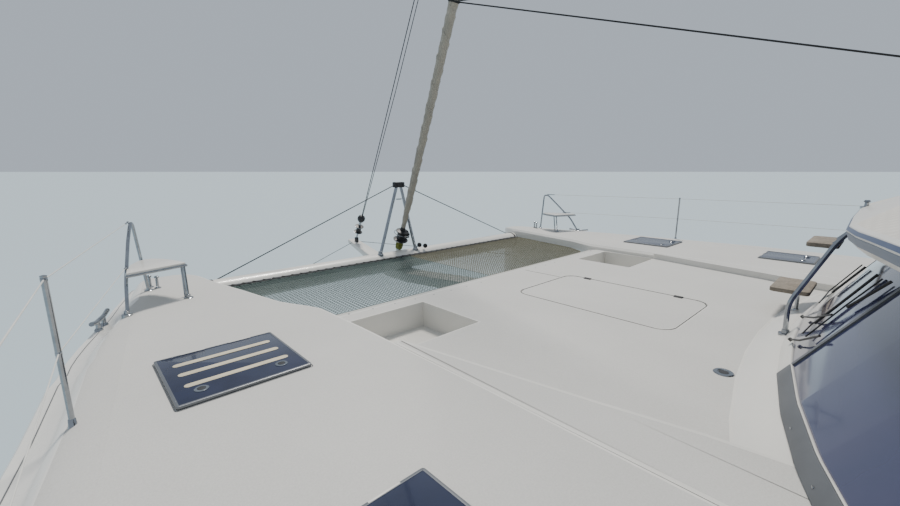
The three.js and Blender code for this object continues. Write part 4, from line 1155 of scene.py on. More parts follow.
@dataclass(frozen=True)
class Trampoline:
    """The two nets: square mesh, edge rope and lacing to the beam, the deck and the hulls."""

    cell: float = 0.034
    cord: float = 0.0115
    level: float = 1.526
    lace_step: float = 0.1
    inner: float = 0.006
    front: float = -6.01
    aft: float = -4.566
    hull_gap: float = 0.034
    deck_edge: float = -4.523
    deck_laces: tuple[float, float, float] = (0.16, 1.82, 0.08)
    hull_laces: int = 26
    lace_out: float = 0.03
    lace_radius: float = 0.0035
    corner: tuple[Plan, ...] = ((2.035, -4.72), (2.0, -4.64), (1.94, -4.585), (1.86, -4.566))

    def build(self, fitter: Fitter) -> None:
        """Builds both nets.

        Args:
            fitter: Finishes the pieces.
        """
        outline = self.outline(Hull.rings(fitter))
        (x0, y0), (x1, y1) = self.reach(outline)
        columns, rows = round((x1 - x0) / self.cell), round((y1 - y0) / self.cell)
        mesh = grid("port_net_mesh", columns, rows,
                    lambda u, v: Vector((x0 + (x1 - x0) * u, y0 + (y1 - y0) * v, self.level)))
        centre = Vector((sum(p[0] for p in outline) / len(outline), sum(p[1] for p in outline) / len(outline),
                         0))
        for start, end in zip(outline, outline[1:] + outline[:1]):
            along = Vector((end[0] - start[0], end[1] - start[1], 0))
            outwards = Vector((along.y, -along.x, 0))
            if outwards.dot(centre - Vector((*start, 0))) > 0:
                outwards.negate()
            with editing(mesh, everything=True):
                bpy.ops.mesh.bisect(plane_co=(*start, self.level), plane_no=outwards, clear_outer=True)
        apply_modifier(mesh, "WIREFRAME", thickness=self.cord, use_even_offset=False, use_boundary=True)
        mesh.data.transform(Matrix.Translation((0, 0, self.level)) @ Matrix.Diagonal((1, 1, 0.5, 1))
                            @ Matrix.Translation((0, 0, -self.level)))
        fitter.both(mesh, "net_mesh", NET_GREEN, "net", other=NET_BEIGE)
        rope = tube("port_net_edge", [(x, y, self.level) for x, y in outline], 0.0085, bend=0.04, around=2)
        fitter.both(rope, "net_edge", NET_GREEN, other=NET_BEIGE)
        self.lacing(fitter, outline)

    @staticmethod
    def reach(outline: Sequence[Plan]) -> tuple[Plan, Plan]:
        """The lowest and highest corner of an outline."""
        return ((min(p[0] for p in outline), min(p[1] for p in outline)),
                (max(p[0] for p in outline), max(p[1] for p in outline)))

    def outline(self, rings: dict[float, list[Vector]]) -> list[Plan]:
        """The port net's outline, which follows the inner side of the hull.

        Args:
            rings: The hull's section points by their y.

        Returns:
            The outline's corners.
        """
        side = []
        for y, points in sorted(rings.items()):
            wall = [p.x for p in points if p.x < HULL_X and abs(p.z - self.level) < 0.12]
            if wall and self.front - 0.3 < y < self.corner[0][1] - 0.05:
                side.append((min(wall) - self.hull_gap, y))
        line = [(self.edge_x(side, self.front), self.front), *[p for p in side if p[1] > self.front + 0.02]]
        return [(self.inner, self.front), *line, *self.corner, (self.inner, self.aft)]

    def lacing(self, fitter: Fitter, outline: Sequence[Plan]) -> None:
        """Laces the net's edges in zigzag.

        Args:
            fitter: Finishes the pieces.
            outline: The net's outline.
        """
        reach = outline[1][0] - self.inner
        front = []
        for i in range(int(reach / self.lace_step * 2)):
            x = self.inner + i * self.lace_step / 2
            front.append((x, self.front - 0.002, self.level + 0.004) if i % 2
                         else (x, self.front - 0.05, self.level + 0.012))
        bolt = [(self.inner, self.front - 0.018, self.level),
                (outline[1][0] - 0.01, self.front - 0.018, self.level)]
        parts = [tube("beam_lacing", front, 0.0115, around=1), tube("beam_rope", bolt, 0.015, around=2)]
        start, stop, step = self.deck_laces
        aft = [(start + i * step, self.aft if i % 2 else self.deck_edge, self.level)
               for i in range(int((stop - start) / (2 * step)) * 2)]
        parts.append(tube("deck_lacing", aft, self.lace_radius, around=1))
        side = []
        for i in range(self.hull_laces):
            y = self.front + 0.03 + 1.26 * i / (self.hull_laces - 1)
            side.append((self.edge_x(outline[1:-1], y) + (0 if i % 2 else self.lace_out), y, self.level))
        parts.append(tube("hull_lacing", side, self.lace_radius, around=1))
        fitter.both(joined("port_net_lacing", parts), "net_lacing", BLACK_ROPE)

    @staticmethod
    def edge_x(line: Sequence[Plan], y: float) -> float:
        """The x of a line of points, sorted by y, at one y."""
        for (xa, ya), (xb, yb) in zip(line, line[1:]):
            if y <= yb:
                return xa + (xb - xa) * (y - ya) / max(yb - ya, 1e-6)
        return line[-1][0]


@dataclass(frozen=True)
class ForeBeam:
    """The round beam between the bows, its lacing track and its end fittings, and the striker over it."""

    radius: float = 0.13
    half: float = 2.48
    y: float = -6.19
    level: float = 1.46
    collar_at: float = 2.345
    striker_feet: Plan = (-0.19, 0.39)
    striker_foot_y: float = -6.15
    striker_head_x: float = 0.028
    striker_tube: float = 0.021
    cap_y: float = -6.25
    cap_z: float = 2.477
    wire_x: float = 2.3

    def build(self, fitter: Fitter) -> None:
        """Builds the beam and the striker.

        Args:
            fitter: Finishes the pieces.
        """
        beam = lathe("front_beam_extrusion",
                     [(self.radius - 0.006, -self.half), (self.radius, -self.half + 0.006),
                                              (self.radius, self.half - 0.006),
                                              (self.radius - 0.006, self.half)],
                     (0, self.y, self.level), (1, 0, 0), 48)
        fitter.fit(beam, GELCOAT, nodes=("front_beam",))
        face = self.y + self.radius
        track = slab("beam_track", (-self.collar_at, face - 0.02, self.level + 0.018),
                     (self.collar_at, face + 0.006, self.level + 0.082), 0.004)
        fitter.fit(track, TRACK_GREY)
        collars = [lathe("beam_collar", [(self.radius + 0.001, at), (self.radius + 0.006, at + 0.004),
                                         (self.radius + 0.006, at + 0.026), (self.radius + 0.001, at + 0.03)],
                         (0, self.y, self.level), (1, 0, 0), 40)
                   for at in (-self.collar_at - 0.03, self.collar_at)]
        fitter.fit(joined("beam_collars", collars), BLACK_NYLON)
        self.striker(fitter)

    def striker(self, fitter: Fitter) -> None:
        """Builds the striker: two legs, their feet, a black cap, a brace and the wire.

        Args:
            fitter: Finishes the pieces.
        """
        top = self.level + self.radius
        head = Vector((0, self.cap_y, self.cap_z))
        legs, shoes = [], []
        for x in self.striker_feet:
            foot = Vector((x, self.striker_foot_y, top - 0.005))
            end = head + Vector((math.copysign(self.striker_head_x, x), 0, 0))
            legs.append(tube("striker_leg", [foot, end], self.striker_tube))
            shoes.append(lathe("striker_shoe", [(0.04, -0.05), (0.04, 0.012), (0.03, 0.02), (0.026, 0.05),
                                                (self.striker_tube + 0.001, 0.054)],
                                                foot - Vector((0, 0, 0.01))))
        web = slab("striker_web", (-0.035, self.cap_y - 0.008, self.cap_z - 0.2),
                   (0.045, self.cap_y + 0.02, self.cap_z - 0.185), 0.004)
        fitter.fit(joined("striker_legs", [*legs, *shoes, web]), BRUSHED_STEEL, nodes=("striker",))
        wide, deep, high = 0.08, 0.038, 0.036
        cap = slab("striker_cap", head - Vector((wide, deep, high)), head + Vector((wide, deep, high)), 0.014,
                   3)
        bolts = [lathe("cap_bolt", [(0.012, -0.002), (0.012, 0.006), (0.007, 0.009)],
                       head + Vector((x, deep - 0.001, 0)), (0, 1, 0), 12) for x in (-0.045, 0.045)]
        fitter.fit(joined("striker_cap", [cap, *bolts]), BLACK_NYLON)
        # The wires take the dark grey wire finish: painted shade.
        wires = [tube("striker_wire",
                      [(way * self.wire_x, self.y - 0.04, top - 0.01), head + Vector((way * 0.03, 0, 0.012))],
                      0.006, around=2) for way in (-1, 1)]
        fitter.fit(joined("striker_wires", wires), SHADE_DARK_WIRE)


@dataclass(frozen=True)
class Sprit:
    """The longeron under the nets and the sprit ahead of the beam, with its furler and stays."""

    foot: Point = (0.0, -7.41, 1.61)
    head: Point = (0.11, -0.80, 14.05)
    drum_at: Plan = (0.115, 0.235)
    ball_at: float = 0.37
    second_line_dy: float = 0.16

    def build(self, fitter: Fitter) -> None:
        """Builds the longeron and the furler on its tip.

        Args:
            fitter: Finishes the pieces.
        """
        fitter.moulding("longeron", 0.02)
        foot, head = Vector(self.foot), Vector(self.head)
        way = (head - foot).normalized()
        tack = slab("sprit_tack", foot - Vector((0.018, 0.035, 0.06)), foot + Vector((0.018, 0.035, 0.015)),
                    0.006)
        low, high = self.drum_at
        spool = lathe("spool", [(0.03, low), (0.064, low + 0.004), (0.064, low + 0.014), (0.036, low + 0.02),
                                (0.038, high - 0.02), (0.064, high - 0.014), (0.064, high - 0.004),
                                (0.03, high)],
                      foot, way)
        ball = lathe("ball", [(0.016, self.ball_at - 0.055), (0.04, self.ball_at - 0.048),
                              (0.057, self.ball_at - 0.02), (0.058, self.ball_at + 0.012),
                              (0.046, self.ball_at + 0.038),
                              (0.02, self.ball_at + 0.055)], foot, way)
        fitter.fit(joined("sprit_furler_drum", [tack, spool, ball]), BLACK_NYLON,
                   nodes=("sprit_furler",))
        neck = lathe("neck", [(0.014, -0.01), (0.014, low), (0.019, low), (0.019, self.ball_at - 0.05)], foot,
                     way, 14)
        rims = [lathe("rim", [(0.058, at), (0.0662, at + 0.002), (0.0662, at + 0.006), (0.058, at + 0.008)],
                      foot, way)
                for at in (low + 0.005, high - 0.013)]
        fitter.fit(joined("sprit_furler_steel", [neck, *rims]), STAINLESS)
        top = foot + way * (self.ball_at + 0.04)
        aft = Vector((0, self.second_line_dy, 0))
        lines = [tube("sprit_line", [top, head], 0.0055, around=2),
                 tube("sprit_return", [top + aft * 0.12, top.lerp(head, 0.14) + aft * 0.5, head + aft * 0.5],
                      0.0045,
                      around=2)]
        fitter.fit(joined("sprit_lines", lines), BLACK_ROPE)
        # The side stays take the same dark grey wire finish: painted shade.
        stays = [tube("sprit_stay", [(way_x * 0.05, -7.44, 1.55), (way_x * 2.35, -6.2, 1.2)], 0.004, around=2)
                 for way_x in (-1, 1)]
        fitter.fit(joined("sprit_side_stays", stays), SHADE_DARK_WIRE)


@dataclass(frozen=True)
class Headsail:
    """The furled headsail: a spiral roll of cloth on its stay, its drum, lashing and sheets."""

    foot: Point = (0.0, -6.29, 1.585)
    head: Point = (0.0, -0.925, 15.3)
    start: float = 0.0235
    end: float = 0.97
    turns: float = 52.0
    radii: tuple[tuple[float, float], ...] = ((0.0235, 0.030), (0.05, 0.046), (0.22, 0.056), (0.55, 0.047),
                                              (0.9, 0.028), (0.97, 0.018))
    drum_at: Plan = (0.142, 0.30)
    drum_radius: float = 0.1
    sheet_block: Point = (1.85, 0.5, 2.745)

    def radius(self, share: float) -> float:
        """The roll's radius at a share of the stay."""
        for (a, ra), (b, rb) in zip(self.radii, self.radii[1:]):
            if share <= b:
                return ra + (rb - ra) * max(0.0, share - a) / (b - a)
        return self.radii[-1][1]

    def build(self, fitter: Fitter) -> None:
        """Builds the roll, the fittings at its foot and its two sheets.

        Args:
            fitter: Finishes the pieces.
        """
        foot, head = Vector(self.foot), Vector(self.head)
        axis = (head - foot).normalized()
        across = Vector((1, 0, 0))
        up = axis.cross(across)

        def spot(u: float, v: float) -> Vector:
            """A point of the roll: u goes round it and v along it."""
            share = self.start + (self.end - self.start) * v
            angle = u * math.tau
            ridge = (u + self.turns * v) % 1.0
            second = (u + self.turns * v + 0.5) % 1.0
            creases = 0.03 * math.sin(angle * 3 + v * 300) + 0.03 * math.sin(v * 911 + angle)
            fold = 0.2 * ridge + 0.09 * second + creases
            radius = self.radius(share) * (0.84 + fold)
            return foot.lerp(head, share) + (across * math.cos(angle) + up * math.sin(angle)) * radius

        roll = grid("furled_sail_roll", 24, 1500, spot)
        weld(roll)
        with editing(roll):
            bpy.ops.mesh.select_non_manifold()
            bpy.ops.mesh.edge_face_add()
        fitter.fit(roll, SAILCLOTH, nodes=("furled_headsail",))
        stay = tube("forestay", [foot, head], 0.007, around=2)
        toggle = slab("stay_toggle", foot - Vector((0.02, 0.035, 0.02)), foot + Vector((0.02, 0.035, 0.03)),
                      0.006)
        tang = slab("stay_tang", head - Vector((0.016, 0.035, 0.04)), head + Vector((0.016, 0.125, 0.03)),
                    0.005)
        fitter.fit(joined("forestay_wire", [stay, toggle, tang]), WIRE)
        low, high = self.drum_at
        wide = self.drum_radius
        drum = lathe("drum",
                     [(0.05, low), (wide - 0.006, low + 0.002), (wide, low + 0.008), (wide, low + 0.02),
                              (0.06, low + 0.03), (0.062, high - 0.03), (wide * 0.86, high - 0.022),
                              (wide * 0.86, high - 0.01), (0.05, high)], foot, axis, 32)
        neck = lathe("drum_neck", [(0.036, high - 0.002), (0.034, high + 0.03), (0.026, high + 0.055)], foot,
                     axis, 20)
        horn = slab("drum_horn", foot + axis * 0.2 + Vector((-0.13, -0.012, -0.03)),
                    foot + axis * 0.2 + Vector((-0.05, 0.02, 0.05)), 0.01)
        fitter.fit(joined("furler_drum", [drum, neck, horn]), BLACK_NYLON)
        rims = [lathe("drum_rim",
                      [(wide - 0.012, at), (wide + 0.0015, at + 0.002), (wide + 0.0015, at + 0.009),
                                   (wide - 0.012, at + 0.011)], foot, axis, 32) for at in (low + 0.008,)]
        guard = tube("drum_guard", self.coil(foot + axis * (high - 0.045), axis, wide + 0.006, 28), 0.0045,
                     closed=True,
                     around=1)
        fitter.fit(joined("furler_drum_steel", [*rims, guard]), STAINLESS)
        wraps = [tube("lashing",
                      self.coil(foot + axis * (0.028 + 0.0125 * i), axis, 0.046 - 0.0012 * abs(i - 4), 16),
                      0.0075, closed=True, around=1) for i in range(9)]
        fitter.fit(joined("foot_lashing", wraps), LASHING_ROPE)
        blocks = [lathe("lead_block",
                        [(0.012, -0.016), (0.03, -0.014), (0.033, 0), (0.03, 0.014), (0.012, 0.016)],
                        place, (1, 0.2, 0.1), 18) for place in ((-0.24, -6.12, 1.64), (-0.33, -6.1, 1.62))]
        fitter.fit(joined("lead_blocks", blocks), BLACK_NYLON)
        self.sheets(fitter, foot.lerp(head, 0.2075))

    @staticmethod
    def coil(middle: Vector, axis: Vector, radius: float, count: int) -> list[Vector]:
        """The points of a ring round an axis."""
        across = Vector((1, 0, 0))
        up = axis.cross(across)
        return [middle + (across * math.cos(a) + up * math.sin(a)) * radius
                for a in (math.tau * i / count for i in range(count))]

    def sheets(self, fitter: Fitter, clew: Vector) -> None:
        """Leads a taut sheet from the clew to a block on each side of the roof.

        Args:
            fitter: Finishes the pieces.
            clew: Where the sheets are tied.
        """
        x, y, z = self.sheet_block
        parts = [tube("sheet", [clew, (way * x, y, z + 0.035)], 0.0075, around=2) for way in (-1, 1)]
        knot = tube("clew_knot", self.coil(clew, Vector((0, 0.35, 0.94)), 0.056, 16), 0.011, closed=True,
                    around=1)
        fitter.fit(joined("headsail_sheets", [*parts, knot]), BLACK_ROPE)
        for side in Side:
            at = side.value * x
            block = lathe("sheet_block",
                          [(0.01, -0.018), (0.034, -0.015), (0.037, 0), (0.034, 0.015), (0.01, 0.018)],
                          (at, y, z + 0.03), (1, 0, 0), 20)
            base = slab("sheet_track", (at - 0.02, y - 0.45, z - 0.03), (at + 0.02, y + 0.45, z + 0.002),
                        0.004)
            fitter.fit(joined(f"{side.label}_sheet_lead", [block, base]), BLACK_NYLON)


@dataclass(frozen=True)
class Foredeck:
    """The bridgedeck with its grip panels, the flush locker lid and the small fittings on the foredeck."""

    latches: tuple[Plan, ...] = ((-0.437, -3.667), (-0.437, -2.82))
    lid_gap: float = 0.006
    lid_corner: float = 0.113
    plate_at: Plan = (0.85, -2.175)
    screw_y: Plan = (-4.39, -4.31)

    def build(self, fitter: Fitter) -> None:
        """Builds the deck, the lid and the fittings.

        Args:
            fitter: Finishes the pieces.
        """
        deck = fitter.refined("bridgedeck_moulding", "bridgedeck", whole=False)
        deck.data.materials.append(GELCOAT.material())
        for level, margin in ((FOREDECK, 0.012), (DECK, 0.02), (COCKPIT_SOLE, 0.05)):
            panel(deck, lambda f, z=level: f.normal.z > FLAT and abs(f.calc_center_median().z - z) < 0.001,
                  margin, NONSKID)
        fitter.fit(deck, None, nodes=("bridgedeck",))
        lid = fitter.refined("locker_lid_moulding", "locker_lid", 0.002)
        lid.data.materials.append(GELCOAT.material())
        panel(lid, lambda f: f.normal.z > FLAT and f.calc_area() > 0.1, 0.006, NONSKID, 0.0006)
        fitter.fit(lid, None, "locker_lid", ("locker_lid",))
        tabs = []
        for x, y in self.latches:
            tabs.append(slab("latch", (x - 0.012, y - 0.035, FOREDECK - 0.002),
                             (x + 0.02, y + 0.035, FOREDECK + 0.007),
                             0.003))
            tabs.append(lathe("latch_pin", [(0.005, -0.036), (0.006, -0.034), (0.006, 0.034), (0.005, 0.036)],
                              (x - 0.008, y, FOREDECK + 0.006), (0, 1, 0), 10))
        fitter.fit(joined("locker_latches", tabs), BLACK_NYLON, body="locker_lid")
        place = (*self.plate_at, FOREDECK)
        cap = lathe("deck_plate",
                    [(0.05, -0.004), (0.05, 0.003), (0.045, 0.007), (0.03, 0.0075), (0.027, 0.005)],
                    place, sides=32)
        fitter.fit(cap, STAINLESS)
        well = lathe("deck_plate_well", [(0.024, 0), (0.024, 0.0062), (0.02, 0.0066)], place, sides=24)
        fitter.fit(well, BLACK_NYLON)
        # Black cords along the lid's gap and the groove ahead of it: painted shade, standing in for the dark
        # inside the gaps.
        line = tube("deck_groove", [(-0.28, -4.32, FOREDECK - 0.001), (-0.30, -3.9, FOREDECK - 0.001)], 0.004,
                    around=1)
        (x0, y0, _), (x1, y1, _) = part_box("locker_lid")
        gap = self.lid_gap / 2
        seal = tube("lid_seal", [(x, y, FOREDECK - 0.0008) for x, y in
                                 rounded((x0 - gap, y0 - gap), (x1 + gap, y1 + gap), self.lid_corner, 9)],
                    0.0038, closed=True, around=1)
        fitter.fit(joined("deck_grooves", [line, seal]), RUBBER)
        eyes = []
        for way in (-1, 1):
            for i in range(8):
                x = 0.45 + i * 0.2
                y = self.screw_y[1] + (self.screw_y[0] - self.screw_y[1]) * (i / 7) ** 2
                eyes.append(lathe("net_screw", [(0.008, -0.003), (0.008, 0.001), (0.005, 0.003)],
                                  (way * x, y, FOREDECK),
                                  sides=8))
        fitter.fit(joined("net_screws", eyes), GREY_ENAMEL)


@dataclass(frozen=True)
class SaloonShape:
    """The saloon's outline in plan, leaning in as it rises, as the solid walls are drawn."""

    front: float = -2.0
    half: float = 2.06
    lean: float = 0.676
    side_lean: float = 0.2
    table: tuple[Plan, ...] = ((0.0, 0.0), (0.2, 0.015), (0.4, 0.06), (0.6, 0.135), (0.78, 0.232),
                               (0.93, 0.345),
                               (0.985, 0.56), (1.0, 0.9), (1.0, 4.2))

    def point(self, run: float, level: float, out: float) -> Vector:
        """A point of the skin.

        Args:
            run: The distance from the centreline along the port side's outline, counted in table rows.
            level: The height above the deck.
            out: How far outside the skin it lies.

        Returns:
            The point.
        """
        index = min(int(abs(run)), len(self.table) - 2)
        part = abs(run) - index
        (sa, ya), (sb, yb) = self.table[index], self.table[index + 1]
        share, back = sa + (sb - sa) * part, ya + (yb - ya) * part
        half = self.half + out - level * self.side_lean
        x = math.copysign(half * share, run if run else 1)
        return Vector((x, self.front - out + level * self.lean + back, DECK + level))

    def band(self, name: str, run: Plan, levels: Plan, out: float, thick: float, columns: int) -> Object:
        """A band laid on the skin, with thickness.

        Args:
            name: The object's name.
            run: Where it starts and ends along the outline.
            levels: Its lower and upper edge.
            out: How far outside the skin its middle lies.
            thick: Its thickness.
            columns: Its faces along the outline.

        Returns:
            The object.
        """
        band = grid(name, columns, 1, lambda u, v: self.point(run[0] + (run[1] - run[0]) * u,
                                                              levels[0] + (levels[1] - levels[0]) * v, out))
        apply_modifier(band, "SOLIDIFY", thickness=thick, offset=0)
        weld(band)
        return round_edges(band, min(0.003, thick * 0.3))


@dataclass(frozen=True)
class Saloon:
    """Walls, bonded glass with its frames, and the sliding door."""

    shape: SaloonShape = field(default_factory=SaloonShape)
    sill: Plan = (0.004, 0.07)
    ridge: float = 2.0
    run_end: float = 6.9

    def build(self, fitter: Fitter) -> None:
        """Builds the saloon's outside.

        Args:
            fitter: Finishes the pieces.
        """
        fitter.moulding("saloon_walls", 0.004, 2, "saloon_wall_moulding")
        for node in ("windscreen", "port_side_window", "starboard_side_window"):
            fitter.fit(fitter.refined(f"{node}_panes", node), TINTED_GLASS, nodes=(node,))
        shape = self.shape
        low, high = self.sill
        front = shape.band("windscreen_front_sill", (-self.ridge, self.ridge), (low, high), 0.016, 0.014, 24)
        fitter.fit(front, GELCOAT)
        for side in Side:
            ridge = side.value * self.ridge
            near, far = sorted((ridge, side.value * self.run_end))
            sill = shape.band(f"{side.label}_screen_sill", (near, far), (low, high), 0.018, 0.014, 28)
            fitter.fit(sill, TRIM_GREY)
            bead = shape.band(f"{side.label}_screen_bead", (near, far), (high, high + 0.0045), 0.017, 0.012,
                              28)
            fitter.fit(bead, SLEEVED_WIRE)
            post = grid(f"{side.label}_screen_post", 2, 12,
                        lambda u, v, r=ridge: shape.point(r + (u - 0.5) * 0.07, low + 0.61 * v, 0.016))
            apply_modifier(post, "SOLIDIFY", thickness=0.008, offset=0)
            weld(post)
            fitter.fit(post, TRIM_GREY)
        screws = [lathe("sill_screw", [(0.006, 0), (0.006, 0.003), (0.003, 0.0045)],
                        shape.point(run, 0.03, 0.0245),
                        (math.copysign(0.4, run), -1, 0), 10) for run in (-5.2, -3.4, 3.4, 4.35, 5.2)]
        fitter.fit(joined("sill_screws", screws), STAINLESS)
        door = fitter.refined("saloon_door_leaf", "saloon_door", 0.003)
        door.data.materials.append(FRAME_ALLOY.material())
        panel(door, lambda f: abs(f.normal.y) > FLAT and f.calc_area() > 1.0, 0.006, TINTED_GLASS, 0.0)
        fitter.fit(door, None, "saloon_door", ("saloon_door",))


@dataclass(frozen=True)
class Roof:
    """The roof moulding: visor with two bands of painted shade on its recessed edge, diamond grip, edge
    fittings.
    """

    half: float = 2.06
    base: float = 2.3
    outline: tuple[tuple[float, float, float], ...] = (
        (1.0, 4.75, -1), (1.0, 1.5, 0), (1.0, 0.0, 0), (1.0, -1.0, 0), (1.0, -1.25, 0.5), (0.97, -1.45, 1),
        (0.9, -1.575, 1), (0.81, -1.655, 1), (0.665, -1.715, 1), (0.55, -1.765, 1), (0.42, -1.805, 1),
        (0.15, -1.818, 1))
    lift_table: tuple[Plan, ...] = ((-1.85, 0), (-1.45, 0.07), (-1.0, 0.15), (0, 0.29), (1.5, 0.38),
                                    (4.75, 0.42))

    def lift(self, y: float) -> float:
        """How far the roof lifts at one y."""
        if y <= self.lift_table[0][0]:
            return 0.0
        for (ya, za), (yb, zb) in zip(self.lift_table, self.lift_table[1:]):
            if y <= yb:
                return za + (zb - za) * (y - ya) / (yb - ya)
        return self.lift_table[-1][1]

    def edge(self, rise: float, inset: float) -> list[Vector]:
        """The roof's outline at one height of its edge, from the port quarter to the starboard one."""
        port = []
        for share, y, move in self.outline:
            shifted = y + inset * move
            port.append(Vector(((self.half - inset) * share, shifted, self.base + rise + self.lift(shifted))))
        return port + [Vector((-p.x, p.y, p.z)) for p in reversed(port)]

    def ribbon(self, name: str, low: Plan, high: Plan, thick: float) -> Object:
        """A band along the roof's edge.

        Args:
            name: The object's name.
            low: Rise and inset of its lower edge.
            high: Rise and inset of its upper edge.
            thick: Its thickness.

        Returns:
            The object.
        """
        below, above = self.edge(*low), self.edge(*high)
        count = len(below) - 1
        band = grid(name, count, 1, lambda u, v: below[round(u * count)].lerp(above[round(u * count)], v))
        apply_modifier(band, "SOLIDIFY", thickness=thick, offset=0)
        weld(band)
        return band

    def build(self, fitter: Fitter) -> None:
        """Builds the roof.

        Args:
            fitter: Finishes the pieces.
        """
        roof = fitter.refined("roof_moulding", "roof", 0.004, 2, 46)
        roof.data.materials.append(GELCOAT.material())
        panel(roof, lambda f: f.normal.z > 0.9 and f.calc_center_median().z > 2.43
              and f.calc_area() > 0.02, 0.02, ROOF_NONSKID)
        fitter.fit(roof, None, nodes=("roof",))
        # Two blue-grey bands along the visor's edge: painted shade, in its groove and under its overhang.
        fitter.fit(self.ribbon("roof_upper_band", (0.094, 0.0005), (0.108, 0.006), 0.005), GROOVE_SHADE_SLATE)
        fitter.fit(self.ribbon("roof_lower_band", (0.05, 0.013), (0.086, 0.002), 0.004), LIP_SHADE_BLUE)
        eye = lathe("roof_eye", [(0.03, -0.01), (0.03, 0.004), (0.012, 0.008), (0.011, 0.03), (0.018, 0.036),
                                 (0.012, 0.046)], (-0.45, -1.79, 2.425), sides=18)
        fitter.fit(eye, STAINLESS)


@dataclass(frozen=True)
class RoofAccess:
    """The handrail, the two teak steps and the windscreen wipers."""

    rail: tuple[Point, ...] = ((0.13, -2.024, 1.64), (0.13, -2.032, 1.85), (0.102, -1.862, 2.26),
                               (0.1, -1.80, 2.345))
    lower_post: tuple[Point, Point] = ((-0.6, -2.06, DECK - 0.035), (-0.6, -2.06, 1.78))
    upper_top: float = 2.15
    upper_reach: Plan = (-2.065, -1.885)
    bracket_half: float = 0.15
    bracket_ends: tuple[Plan, Plan] = ((-1.93, 2.134), (-1.745, 2.345))
    step_tube: float = 0.0125
    shape: SaloonShape = field(default_factory=SaloonShape)
    stand_off: float = 0.045
    links: tuple[tuple[Plan, ...], ...] = (((1.18, 0.09), (1.52, 0.14), (1.92, 0.235)),
                                            ((0.2, 0.12), (0.95, 0.21), (1.42, 0.295)))
    arms: tuple[tuple[Plan, ...], ...] = (((1.55, 0.17), (1.46, 0.355), (1.46, 0.51)),
                                           ((0.1, 0.215), (-0.66, 0.23), (-1.02, 0.405)),
                                           ((1.32, 0.155), (1.18, 0.21)))
    blades: tuple[tuple[Plan, ...], ...] = (((1.18, 0.205), (1.06, 0.5)), ((-0.2, 0.262), (-0.32, 0.44)),
                                             ((1.5, 0.352), (1.72, 0.52)))

    def build(self, fitter: Fitter) -> None:
        """Builds the way up to the roof.

        Args:
            fitter: Finishes the pieces.
        """
        rail = tube("handrail", self.rail, 0.0145, bend=0.06)
        flange = lathe("rail_flange",
                       [(0.036, -0.004), (0.036, 0.006), (0.022, 0.009), (0.019, 0.03), (0.015, 0.032)],
                       (*self.rail[0][:2], DECK))
        fitter.fit(joined("roof_handrail_tube", [rail, flange]), STAINLESS, nodes=("roof_handrail",))
        self.step(fitter, "lower_roof_step", self.lower_post)
        self.step(fitter, "upper_roof_step", None)
        self.wipers(fitter)

    def step(self, fitter: Fitter, node: str, post: tuple[Point, Point] | None) -> None:
        """Builds one teak step with its carrier.

        Args:
            fitter: Finishes the pieces.
            node: The CAD node.
            post: The foot and head of its post, or None for two brackets under the visor.
        """
        (x0, y0, _), (x1, y1, top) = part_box(node)
        if not post:
            top, (y0, y1) = self.upper_top, self.upper_reach
        board = plate(f"{node}_board", rounded((x0, y0), (x1, y1), 0.03), top - 0.032, top, 0.006)
        fitter.fit(board, TEAK, nodes=(node,))
        if post:
            foot, head = post
            parts = [tube("post", [foot, head], self.step_tube),
                     lathe("flange",
                           [(0.034, 0), (0.034, 0.006), (0.02, 0.009), (0.016, 0.022), (0.0126, 0.024)],
                           foot)]
        else:
            middle = (x0 + x1) / 2
            parts = [tube("bracket", [(x, *end) for end in self.bracket_ends], self.step_tube)
                     for x in (middle - self.bracket_half, middle + self.bracket_half)]
        fitter.fit(joined(f"{node}_carrier", parts), STAINLESS)

    def wipers(self, fitter: Fitter) -> None:
        """Builds the parked wipers: black links, thin arms and their blades.

        Args:
            fitter: Finishes the pieces.
        """
        def bars(lines: Sequence[Sequence[Plan]], radius: float, lift: float) -> list[Object]:
            """Bars that follow lines of (run, level) points off the glass."""
            return [tube("wiper_bar", [self.shape.point(run, level, lift) for run, level in line], radius,
                         around=2)
                    for line in lines]

        pivots = [lathe("pivot", [(0.01, -0.01), (0.01, 0.005), (0.006, 0.009)],
                        self.shape.point(*link[0], self.stand_off), (0, -0.83, 0.56),
                        18) for link in self.links]
        arms = bars(self.links, 0.0055, self.stand_off) + bars(self.arms, 0.004, self.stand_off)
        fitter.fit(joined("wiper_arms", arms + pivots), BLACK_NYLON)
        fitter.fit(joined("wiper_blades", bars(self.blades, 0.007, self.stand_off - 0.008)), RUBBER)


